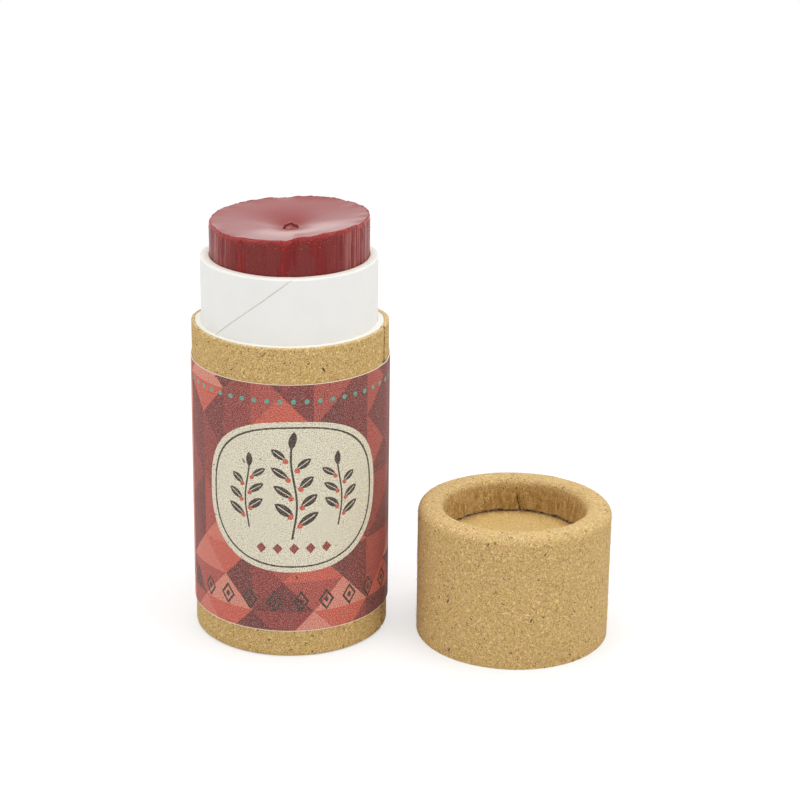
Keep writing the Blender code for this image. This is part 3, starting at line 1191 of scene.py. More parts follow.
@dataclass(frozen=True)
class CurledStock:
    """Section of the tube stock with one edge curled inwards, drawn with the curl at the bottom."""

    height: float
    leg: float
    outer_round: float
    inner_round: float
    mouth_round: float
    radius: float = 13.80 * MM
    curl_width: float = 3.74 * MM

    def face(self, depth: float, fine: float, coarse: float) -> Profile:
        """Line of the surface that lies this deep in the wall.

        Args:
            depth: Depth below the outermost surface.
            fine: Spacing of the points on the curl's leg.
            coarse: Spacing on the wall.

        Returns:
            The line from the raw end down, round the foot and up to the mouth.
        """
        lip = self.radius - self.curl_width + depth
        wall = self.radius - depth
        inner, outer, mouth = (
            max(size - depth, 0.0) for size in (self.inner_round, self.outer_round, self.mouth_round)
        )
        line = Profile()
        line.go(lip, self.leg)
        line.go(lip, depth + inner, fine)
        line.arc(lip + inner, depth + inner, inner, 180.0, 90.0, 10)
        line.go(wall - outer, depth, 2.0 * fine)
        line.arc(wall - outer, depth + outer, outer, 270.0, 90.0, 10)
        line.go(wall, self.height - mouth, coarse)
        line.arc(wall - mouth, self.height - mouth, mouth, 0.0, 90.0, 5)
        return line

    def ply(
        self, shallow: float, deep: float, fine: float, coarse: float, hem: float = 0.0
    ) -> Profile:
        """Closed section of a ply.

        Args:
            shallow: Depth of its outer face.
            deep: Depth of its inner face.
            fine: Spacing of the points on the curl's leg.
            coarse: Spacing on the wall.
            hem: How far it is folded over the raw end.

        Returns:
            The section from the raw end on.
        """
        line = Profile(self.face(shallow, fine, coarse).points)
        line.points += self.face(deep, 2.5 * fine, coarse).points[::-1]
        if hem:
            lip = line.points[0][0]
            line.go(lip + hem, self.leg + 0.01 * MM)
            line.go(lip + hem, self.leg + 0.05 * MM)
            line.go(lip, self.leg + 0.05 * MM)
        return line.closed()


def tube_section(
    outer: float, inner: float, foot: float, top: float, round_out: float, round_in: float
) -> Profile:
    """Closed section of a plain tube with a softened upper edge.

    Args:
        outer: Outer radius.
        inner: Inner radius.
        foot: Height of the lower end.
        top: Height of the upper end.
        round_out: Rounding of the outer upper edge.
        round_in: Rounding of the inner upper edge.

    Returns:
        The section, up the outer wall first.
    """
    line = Profile()
    line.go(outer, foot)
    line.go(outer, top - round_out, 1.2 * MM)
    if round_out:
        line.arc(outer - round_out, top - round_out, round_out, 0.0, 90.0, 6)
    else:
        line.go(outer, top)
    if round_in:
        line.arc(inner + round_in, top - round_in, round_in, 90.0, 90.0, 5)
    else:
        line.go(inner, top)
    line.go(inner, foot, 1.2 * MM)
    return line.closed()


# What grows on the paper and the wax


class StrewingTree(Tree):
    """Strews copies of one small shape over the faces of its host."""

    def __init__(self, name: str) -> None:
        """Starts the tree and picks the copies' places."""
        super().__init__(name)
        self.seed = self.takes("Seed", "Int")
        self.finish = self.takes("Material", "Material")
        self.spread = self.node(
            "GeometryNodeDistributePointsOnFaces",
            {"distribute_method": "RANDOM"},
            {
                "Mesh": self.source.outputs["Geometry"],
                "Density": self.takes("Density"),
                "Seed": self.seed,
            },
        )

    def chance(self, low: object, high: object, seed: Wire) -> bpy.types.NodeSocket:
        """A vector for each copy, drawn between these two."""
        return self.node(
            "FunctionNodeRandomValue",
            {"data_type": "FLOAT_VECTOR"},
            {"Min": low, "Max": high, "Seed": seed},
        ).outputs[0]

    def strew(self, shape: object, turn: object, size: object) -> None:
        """Sets a copy on each place and closes the tree.

        Args:
            shape: The geometry that is copied.
            turn: How each copy is turned.
            size: Each copy's size along its own three axes.
        """
        placed = self.node(
            "GeometryNodeInstanceOnPoints",
            {},
            {
                "Points": self.spread.outputs["Points"],
                "Instance": shape,
                "Rotation": turn,
                "Scale": size,
            },
        )
        self.ends(placed.outputs[0], self.finish)


class FibreTree(StrewingTree):
    """Scatters short bent fibres over a patch, from lying flat to standing up."""

    def __init__(self) -> None:
        """Builds the tree."""
        super().__init__("scattered_fibres")
        length, thickness, stand, bend, lift = (
            self.takes(name) for name in ("Length", "Thickness", "Stand", "Bend", "Lift")
        )
        arc = self.node(
            "GeometryNodeCurveQuadraticBezier",
            {},
            {
                "Resolution": 5,
                "Start": (0.0, 0.0, 0.0),
                "Middle": self.join(length * 0.5, bend * length, stand * length * 0.35),
                "End": self.join(length, 0.0, stand * length),
            },
        )
        reached = self.node("GeometryNodeSplineParameter").outputs["Factor"]
        slim = self.node(
            "GeometryNodeSetCurveRadius",
            {},
            {"Curve": arc.outputs[0], "Radius": 1.0 - 0.65 * Wire(self, reached)},
        )
        ring = self.node(
            "GeometryNodeCurvePrimitiveCircle",
            {"mode": "RADIUS"},
            {"Resolution": 4, "Radius": thickness / 2},
        )
        fibre = self.node(
            "GeometryNodeCurveToMesh",
            {},
            {"Curve": slim.outputs[0], "Profile Curve": ring.outputs[0], "Fill Caps": True},
        )
        leaning = self.join(0.0, -lift, 0.0), self.join(0.0, lift * 0.3, math.tau)
        spin = self.chance(*leaning, self.seed + 1)
        turn = self.node("FunctionNodeEulerToRotation", {}, {0: spin})
        aimed = self.node(
            "FunctionNodeRotateRotation",
            {"rotation_space": "LOCAL"},
            {"Rotation": self.spread.outputs["Rotation"], "Rotate By": turn.outputs[0]},
        )
        size = self.chance((0.45, 0.2, 0.3), (1.0, 1.0, 1.0), self.seed + 2)
        self.strew(fibre.outputs[0], aimed.outputs[0], size)


class CrumbTree(StrewingTree):
    """Strews small lumps over a patch, half sunk into it."""

    def __init__(self) -> None:
        """Builds the tree."""
        super().__init__("strewn_crumbs")
        lump = self.node(
            "GeometryNodeMeshIcoSphere", {}, {"Radius": self.takes("Size") / 2, "Subdivisions": 1}
        )
        turn = self.chance((0.0, 0.0, 0.0), (math.tau, math.tau, math.tau), self.seed + 1)
        size = self.chance((0.3, 0.3, 0.3), (1.0, 1.0, 0.8), self.seed + 2)
        self.strew(lump.outputs[0], turn, size)


def patch(piece: bpy.types.Object, wanted: Callable[[Vector], bool]) -> bpy.types.Object:
    """Copies the faces of a piece whose middle is wanted, as a host for what grows there.

    Args:
        piece: The piece that they lie on.
        wanted: Tells whether a face's middle is in the patch.

    Returns:
        A loose object with those faces alone.
    """
    made = bmesh.new()
    made.from_mesh(piece.data)
    spare = [face for face in made.faces if not wanted(face.calc_center_median())]
    bmesh.ops.delete(made, geom=spare, context="FACES")
    mesh = bpy.data.meshes.new(piece.name + "_patch")
    made.to_mesh(mesh)
    made.free()
    return in_scene(mesh.name, mesh)


# The object's sub-assemblies


def axis_of(node: str) -> Vector:
    """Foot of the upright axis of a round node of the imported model."""
    low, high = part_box(node)
    return Vector(((low.x + high.x) / 2, (low.y + high.y) / 2, 0.0))


def dress(node: bpy.types.Object, finish: bpy.types.Material) -> None:
    """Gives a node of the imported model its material."""
    for slot in node.material_slots:
        slot.material = finish


def fit(piece: bpy.types.Object, body: Body, slot: Slot, *stands_for: str) -> None:
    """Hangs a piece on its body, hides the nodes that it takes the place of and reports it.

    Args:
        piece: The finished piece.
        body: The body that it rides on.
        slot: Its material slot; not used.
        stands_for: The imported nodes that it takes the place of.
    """
    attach(piece, body.value)
    if stands_for:
        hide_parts(*stands_for)
    LOG.info("%s: %d faces, on %s", piece.name, len(piece.data.polygons), body.value)


@dataclass
class Kit:
    """What the sub-assemblies share: the trees and the finishes."""

    turning: TurningTree
    fibres: FibreTree
    crumbs: CrumbTree
    kraft: bpy.types.Material
    kraft_cap: bpy.types.Material
    kraft_disc: bpy.types.Material
    board: bpy.types.Material
    cut_board: bpy.types.Material
    white: bpy.types.Material
    greaseproof: bpy.types.Material
    grey: bpy.types.Material
    label: bpy.types.Material
    tint: bpy.types.Material
    fluff: bpy.types.Material
    hair: bpy.types.Material
    crumb: bpy.types.Material


@dataclass
class TurnedPart:
    """A sub-assembly of sheets that are turned round one upright axis."""

    kit: Kit
    axis: Vector
    columns: int = 560

    def sheet(
        self,
        name: str,
        line: Profile,
        seam: Seam,
        finish: bpy.types.Material,
        columns: int | None = None,
    ) -> Sheet:
        """Turns one of its sheets, in columns of its own where they are given."""
        return Sheet(name, line, seam, self.axis, columns or self.columns, finish, self.kit.turning)

    def away(self, place: Vector) -> float:
        """Distance of a place from the axis."""
        return (place - self.axis).to_2d().length


@dataclass
class PaperBody(TurnedPart):
    """Body tube: kraft facing with its curled foot and open seam, and the printed label."""

    height: float = 45.97 * MM
    radius: float = 13.80 * MM
    curl_leg: float = 4.20 * MM
    facing: float = 0.39 * MM
    board_depth: float = 1.37 * MM
    board_columns: int = 240
    ply_gap: float = 0.04 * MM
    bore: float = 12.37 * MM
    bore_lean: float = 0.10 * MM
    top_drop: float = 0.75 * MM
    board_drop: float = 0.06 * MM
    top_reach: float = 4.0 * MM
    bore_widest: float = 12.6 * MM
    bore_lowest: float = 6.0 * MM
    # Radii that part the board's faces, curl from wall, the facing's outer face and its inner one
    mid_wall: float = 13.0 * MM
    wall_zone: tuple[float, float] = (12.0 * MM, 13.5 * MM)
    skin_zone: tuple[float, float] = (13.55 * MM, 13.65 * MM)
    inner_zone: tuple[float, float] = (13.60 * MM, 13.48 * MM)
    ripple: float = 0.022 * MM
    seam_degrees: float = -17.0
    seam_gap: float = 0.004 * MM
    seam_half: float = 0.50 * MM
    seam_depth: float = 0.38 * MM
    seam_round: float = 0.16 * MM
    raw_end_radius: float = 10.2 * MM
    raw_end_ripple: float = 0.15 * MM
    label_radius: float = 13.98 * MM
    label_thickness: float = 0.14 * MM
    label_foot: float = 4.02 * MM
    label_height: float = 36.87 * MM
    label_gap: float = 0.25 * MM
    label_degrees: float = -164.4
    label_lift: float = 0.10 * MM
    label_ripple: float = 0.018 * MM
    label_end_lift: float = 0.03 * MM

    def build(self) -> None:
        """Makes the board and the two papers round it."""
        stock = CurledStock(
            self.height,
            self.curl_leg,
            outer_round=0.45 * MM,
            inner_round=1.40 * MM,
            mouth_round=0.24 * MM,
            radius=self.radius,
        )
        self.make_board(stock)
        self.make_facing(stock)
        self.make_label()

    def make_board(self, stock: CurledStock) -> None:
        """The board, which shows as a white ring round the neck.

        Args:
            stock: The tube's section.
        """
        line = stock.ply(self.facing + self.ply_gap, self.board_depth, 0.60 * MM, 1.2 * MM)
        sheet = self.sheet("body_board", line, Seam(), self.kit.cut_board, self.board_columns)
        inside = (sheet.radius < self.bore_widest) * (sheet.height > self.bore_lowest)
        snug = self.bore - self.bore_lean * np.cos(sheet.angle)
        sheet.radius += (snug - sheet.radius) * inside
        at_top = rise(sheet.height, self.height - self.top_reach, self.height)
        sheet.radius -= at_top * (sheet.radius > self.mid_wall) * self.joint_shift(sheet.angle)
        sheet.height -= at_top * (self.board_drop + self.top_drop * at_back(sheet.angle))
        fit(sheet.close(60.0), Body.TUBE, Slot.BOARD, "body_board_tube")

    def joint_shift(self, angle: np.ndarray) -> np.ndarray:
        """How far the joint of facing and board lies inwards at the top, most behind the seam.

        Args:
            angle: Angle round the axis.

        Returns:
            The distance at each angle.
        """
        beside = off_angle(angle, self.seam_degrees)
        loose = smooth(beside / 0.35) * (1.0 - smooth((beside - 0.6) / 0.6))
        return (0.08 + 0.25 * loose) * MM

    def make_facing(self, stock: CurledStock) -> None:
        """The kraft paper, lifting a little at the upper corner of its seam.

        Args:
            stock: The tube's section.
        """
        line = stock.ply(0.0, self.facing, 0.30 * MM, 1.0 * MM)
        seam = Seam(self.seam_degrees, self.seam_gap)
        sheet = self.sheet("body_kraft", line, seam, self.kit.kraft)
        up = sheet.height / self.height
        outside = rise(sheet.radius, *self.wall_zone)
        sheet.radius += self.ripple * outside * Unevenness(3, 26, 8).at(sheet.angle, up)
        beside = off_angle(sheet.angle, self.seam_degrees)
        lifted = (beside < 0.0) * hump(beside, 0.10) * outside
        lifted *= (0.05 + 0.10 * smooth((up - 0.90) / 0.10)) * MM
        groove = smooth((self.seam_half - abs(beside) * self.radius) / self.seam_round)
        outermost = rise(sheet.radius, *self.skin_zone)
        mouth = rise(sheet.height, self.height - 0.6 * MM, self.height - 0.4 * MM)
        # Painted shadow in the seam's groove, left off the cut top at the mouth
        dark = groove * outside * (1.0 - (1.0 - outermost) * mouth)
        sheet.radius += lifted - self.seam_depth * groove * outermost
        within = rise(sheet.radius, *self.inner_zone) * outside
        at_top = rise(sheet.height, self.height - self.top_reach, self.height) * outside
        sheet.radius -= within * at_top * self.joint_shift(sheet.angle)
        drop = self.top_drop * at_back(sheet.angle)
        sheet.height -= at_top * drop
        # Pale mouth edge: a worn cut edge with a painted highlight
        edge = rise(sheet.height + drop, self.height - 0.16 * MM, self.height - 0.06 * MM)
        sheet.keep(WEAR_AND_HIGHLIGHT, 0.95 * edge * outside)
        sheet.keep(PAINTED_SHADE, dark)
        raw = rise(sheet.height, self.curl_leg - 1.2 * MM, self.curl_leg)
        raw *= hump(sheet.radius - self.raw_end_radius, 0.5 * MM)
        sheet.height += raw * self.raw_end_ripple * Unevenness(4, 90).at(sheet.angle)
        fit(sheet.close(), Body.TUBE, Slot.KRAFT, "body_kraft_facing")

    def make_label(self) -> None:
        """The label, which rises a little over the facing's seam."""
        line = tube_section(
            self.label_radius,
            self.label_radius - self.label_thickness,
            self.label_foot,
            self.label_foot + self.label_height,
            round_out=0.03 * MM,
            round_in=0.0,
        )
        seam = Seam(self.label_degrees, self.label_gap)
        sheet = self.sheet("label", line, seam, self.kit.label)
        up = (sheet.height - self.label_foot) / self.label_height
        sheet.radius += self.label_lift * hump(off_angle(sheet.angle, self.seam_degrees), 0.07)
        uneven = 1.0 + Unevenness(7, 30, 10).at(sheet.angle, up)
        sheet.radius += self.label_ripple * uneven / 2
        ends = hump(off_angle(sheet.angle, self.label_degrees), 0.03)
        ends *= 1.0 + Unevenness(8, 40, 30).at(sheet.angle, up)
        sheet.radius += self.label_end_lift * ends
        fit(sheet.close(), Body.TUBE, Slot.LABEL, "printed_label")


@dataclass
class Neck(TurnedPart):
    """Neck tube: white facing wound in a spiral, board and greaseproof liner."""

    columns: int = 360
    foot: float = 4.30 * MM
    top: float = 55.17 * MM
    radius: float = 12.35 * MM
    facing: float = 0.10 * MM
    board_bore: float = 11.434 * MM
    liner_bore: float = 11.17 * MM
    pitch: float = 59.90 * MM
    seam_gap: float = 0.11 * MM
    seam_degrees: float = -85.7
    edge: float = 0.26 * MM
    top_drop: float = 0.50 * MM
    top_reach: float = 5.0 * MM
    lean: float = 0.05 * MM
    board_gap: float = 0.002 * MM
    liner_gap: float = 0.004 * MM
    liner_round: float = 0.06 * MM
    mid_wall: float = 11.9 * MM

    def build(self) -> None:
        """Makes the three plies."""
        inner = self.radius - self.facing
        reach = math.degrees(math.acos((self.edge - self.facing) / self.edge))
        facing = Profile()
        facing.go(self.radius, self.foot)
        facing.go(self.radius, self.top - self.edge, 1.0 * MM)
        facing.arc(self.radius - self.edge, self.top - self.edge, self.edge, 0.0, reach, 7)
        facing.go(inner, self.foot, 1.0 * MM)
        seam = Seam(self.seam_degrees, self.seam_gap, self.pitch, self.top)
        sheet = self.sheet("neck_facing", facing.closed(), seam, self.kit.white)
        self.cut_and_fit(sheet, Slot.PAPER, "neck_white_facing")
        drop = self.edge * (1.0 - math.sin(math.radians(reach)))
        outer = inner - self.board_gap
        board = tube_section(outer, self.board_bore, self.foot, self.top, drop, 0.0)
        sheet = self.sheet("neck_board", board, Seam(), self.kit.cut_board)
        outside = sheet.radius > inner - 0.02 * MM
        sheet.keep(WEAR_AND_HIGHLIGHT, outside * rise(sheet.height, self.top - 0.25 * MM, self.top - 0.35 * MM))
        self.cut_and_fit(sheet, Slot.BOARD, "neck_board_tube")
        outer = self.board_bore - self.liner_gap
        liner = tube_section(outer, self.liner_bore, self.foot, self.top, 0.0, self.liner_round)
        sheet = self.sheet("neck_liner", liner, Seam(), self.kit.greaseproof)
        self.cut_and_fit(sheet, Slot.GREASEPROOF, "neck_greaseproof_liner")

    def cut_and_fit(self, sheet: Sheet, slot: Slot, node: str) -> None:
        """Makes the cut top uneven and lower behind, the same for all plies, and fits the ply.

        Args:
            sheet: The ply.
            slot: Its material slot.
            node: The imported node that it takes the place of.
        """
        near = rise(sheet.height, self.top - self.top_reach, self.top)
        uneven = (0.12 + 0.02 * Unevenness(21, 40).at(sheet.angle)) * MM
        sheet.height += near * (uneven - self.top_drop * at_back(sheet.angle))
        sheet.radius -= self.lean * (sheet.radius > self.mid_wall) * np.cos(sheet.angle)
        fit(sheet.close(60.0), Body.TUBE, slot, node)


@dataclass
class TintStick(TurnedPart):
    """The poured stick: dragged side, chipped and scalloped rim, sunken top with its pit."""

    columns: int = 580
    radius: float = 11.14 * MM
    foot: float = 20.47 * MM
    length: float = 39.58 * MM
    rim_round: float = 0.22 * MM
    tilt_rise: float = 0.90 * MM
    crater_depth: float = 1.75 * MM
    crater_middle: tuple[float, float] = (0.15 * MM, 0.45 * MM)
    pit_depth: float = 0.22 * MM
    pit_middle: tuple[float, float] = (0.10 * MM, 0.45 * MM)
    step_rise: float = 0.50 * MM
    fold_height: float = 0.075 * MM
    wave_height: float = 0.045 * MM
    lip_height: float = 0.06 * MM
    crumb_play: float = 0.015 * MM
    pit_corners: Line = field(
        default_factory=lambda: [
            (-1.05, -0.75),
            (1.20, -0.55),
            (0.90, 0.75),
            (0.05, 1.60),
            (-0.80, 1.05),
        ]
    )

    @property
    def top(self) -> float:
        """Height of the top before it sinks and tilts."""
        return self.foot + self.length

    def build(self) -> None:
        """Makes the stick and its crumbs."""
        sheet = self.sheet("stick", self.section(), Seam(), self.kit.tint)
        over = sheet.run - (self.radius + self.length - self.rim_round)
        on_top = smooth((over - 0.30 * MM) / (0.25 * MM))
        share = np.clip(sheet.radius / self.radius, 0.0, 1.0)
        below = np.clip(self.top - sheet.height, 0.0, None)
        self.drag(sheet, on_top, share)
        self.sink(sheet, on_top, share)
        self.chip(sheet, over)
        self.tilt(sheet, below)
        sheet.keep(TOP, on_top)
        piece = sheet.close(50.0)
        fit(piece, Body.PUSHER, Slot.TINT, "tint_stick")
        self.strew(piece, "rim_crumbs", 1.1 * MM, 4.5e6, 0.17 * MM, 23)
        self.strew(piece, "side_crumbs", 4.3 * MM, 0.5e6, 0.15 * MM, 29)

    def strew(
        self, piece: bpy.types.Object, name: str, reach: float, density: float, size: float, seed: int
    ) -> None:
        """Strews crumbs on the upper end of the side, and holds them inside the neck's bore.

        Args:
            piece: The stick.
            name: Name of the crumbs.
            reach: How far below the top they lie.
            density: Their number to the square metre.
            size: Size of the largest.
            seed: Seed of their places.
        """

        def near_top(middle: Vector) -> bool:
            """Whether this place lies on the side near the top."""
            return middle.z > self.top - reach and self.away(middle) > self.radius - 0.30 * MM

        values = {"Density": density, "Size": size, "Seed": seed, "Material": self.kit.crumb}
        crumbs = self.kit.crumbs.grow(name, patch(piece, near_top), values)
        limit = self.radius + self.crumb_play
        for vertex in crumbs.data.vertices:
            off = Vector((vertex.co.x - self.axis.x, vertex.co.y - self.axis.y, 0.0))
            if off.length > limit:
                vertex.co -= off * (1.0 - limit / off.length)
        fit(crumbs, Body.PUSHER, Slot.TINT)

    def section(self) -> Profile:
        """Draws half of the stick's outline.

        Returns:
            From the foot's middle up the side and over the rim to the top's middle.
        """
        shoulder = self.top - self.rim_round
        line = Profile()
        line.go(0.0, self.foot)
        line.go(self.radius, self.foot, 3.0 * MM)
        line.go(self.radius, self.top - 6.0 * MM, 1.2 * MM)
        line.go(self.radius, shoulder, 0.14 * MM)
        line.arc(self.radius - self.rim_round, shoulder, self.rim_round, 0.0, 90.0, 5)
        line.go(self.radius - 1.7 * MM, self.top, 0.13 * MM)
        line.go(3.6 * MM, self.top, 0.30 * MM)
        line.go(0.0, self.top, 0.10 * MM)
        return line

    def drag(self, sheet: Sheet, on_top: np.ndarray, share: np.ndarray) -> None:
        """Grooves the side where it was pushed through the neck.

        Args:
            sheet: The stick.
            on_top: 1 on the top and 0 on the side.
            share: Distance from the axis, as a share of the radius.
        """
        up = (sheet.height - self.foot) / self.length
        side = (1.0 - on_top) * smooth((share - 0.9) / 0.08)
        groove = np.clip(Unevenness(44, 64, 12).at(sheet.angle, up) - 0.45, 0.0, None)
        depth = 0.11 * groove
        for seed, columns, rows, deep in ((41, 26, 5, 0.025), (42, 120, 9, 0.018), (43, 300, 14, 0.014)):
            depth += deep * (0.6 - Unevenness(seed, columns, rows).at(sheet.angle, up))
        sheet.radius -= side * depth * MM

    def sink(self, sheet: Sheet, on_top: np.ndarray, share: np.ndarray) -> None:
        """Sinks the crater, shallow at first and steep near the middle, and cuts the pit.

        Args:
            sheet: The stick.
            on_top: 1 on the top and 0 on the side.
            share: Distance from the axis, as a share of the radius.
        """
        across, ahead = off_place(sheet, self.crater_middle)
        where = np.hypot(across, ahead) / MM
        bowl = 0.40 * (1.0 - share**1.25) + 0.36 * hump(where, 3.6) + 0.24 * hump(where, 1.75)
        ends = 0.35 + 0.65 * np.cos(sheet.angle) ** 2
        fold = Unevenness(51, 46).at(sheet.angle) * smooth((share - 0.74) / 0.22) * ends
        wave = Unevenness(52, 9, 4).at(sheet.angle, share) * np.sin(np.pi * share)
        sink = self.crater_depth * bowl - self.fold_height * fold - self.wave_height * wave
        off = self.off_pit(sheet)
        inside = smooth(0.5 - off / (0.14 * MM))
        ragged = 1.0 + 0.35 * Unevenness(53, 12, 5).at(sheet.angle, sheet.radius / (2.2 * MM))
        lip = hump(off - 0.16 * MM, 0.12 * MM)
        sink += inside * self.pit_depth * ragged - lip * self.lip_height
        sheet.height -= on_top * sink
        # Painted shade along the pit's edge, faint towards -Y
        line = hump(off, 0.085 * MM) * (1.0 - 0.8 * rise(ahead, -0.2 * MM, -0.5 * MM))
        sheet.keep(PIT_SHADE, np.clip(line * 1.1, 0.0, 1.0) * on_top)
        # Painted highlight: a pale fan on the top in front of the pit
        toward = np.cos(np.clip(1.25 * off_angle(np.arctan2(ahead, across), -72.0), -1.57, 1.57))
        fade = hump(where - 6.0, 3.2) * smooth(1.6 * toward)
        sheet.keep(PAINTED_HIGHLIGHT, fade * on_top * (1.0 - inside))

    def off_pit(self, sheet: Sheet) -> np.ndarray:
        """Measures from the pit's cornered outline.

        Args:
            sheet: The stick.

        Returns:
            Distance outside the outline, negative within it.
        """
        across, ahead = off_place(sheet, self.pit_middle)
        found = np.full_like(across, -1.0)
        corners = self.pit_corners
        for (x, y), (next_x, next_y) in zip(corners, corners[1:] + corners[:1]):
            long = math.hypot(next_x - x, next_y - y)
            out_x, out_y = (next_y - y) / long, (x - next_x) / long
            found = np.maximum(found, out_x * (across - x * MM) + out_y * (ahead - y * MM))
        return found + 0.07 * MM * Unevenness(54, 15).at(np.arctan2(ahead, across))

    def chip(self, sheet: Sheet, over: np.ndarray) -> None:
        """Scallops the rim, breaks its edge and marks the band that the break leaves bright.

        Args:
            sheet: The stick.
            over: Distance run inwards from the side's upper end.
        """
        near = hump(over, 0.42 * MM)
        broad = hump(over, 1.1 * MM)
        along = 0.5 + over / (2.4 * MM)
        scallop = Unevenness(61, 30).at(sheet.angle)
        chip = Unevenness(62, 150, 6).at(sheet.angle, along)
        crumb = Unevenness(63, 420, 12).at(sheet.angle, along)
        sheet.radius -= near * (0.030 * (1 - scallop) + 0.035 * (1 - chip) + 0.022 * (1 - crumb)) * MM
        sheet.height += (broad * 0.13 * scallop + near * (0.07 * chip + 0.03 * crumb)) * MM
        ragged = (0.34 + 0.24 * Unevenness(64, 90).at(sheet.angle) + 0.12 * chip) * MM
        band = smooth((over + ragged) / (0.22 * MM)) * (1.0 - rise(over, 0.10 * MM, 0.32 * MM))
        sheet.keep(RIM, band)

    def tilt(self, sheet: Sheet, below: np.ndarray) -> None:
        """Lifts the top towards +X, where it was pushed up askew, with a step in its front edge.

        Args:
            sheet: The stick.
            below: Distance below the top, before it sank.
        """
        across = np.clip((1.0 + sheet.radius * np.cos(sheet.angle) / self.radius) / 2, 0.0, 1.0)
        share = smooth(1.0 - below / (self.length / 2))
        sheet.height += share * self.tilt_rise * across**2.5
        turn = np.degrees(off_angle(sheet.angle, -90.0))
        step = smooth(turn / 11.0) * (1.0 - smooth((turn - 15.0) / 95.0))
        outward = smooth((sheet.radius / self.radius - 0.5) / 0.5)
        sheet.height += self.step_rise * step * outward * smooth(1.0 - below / (3.5 * MM))


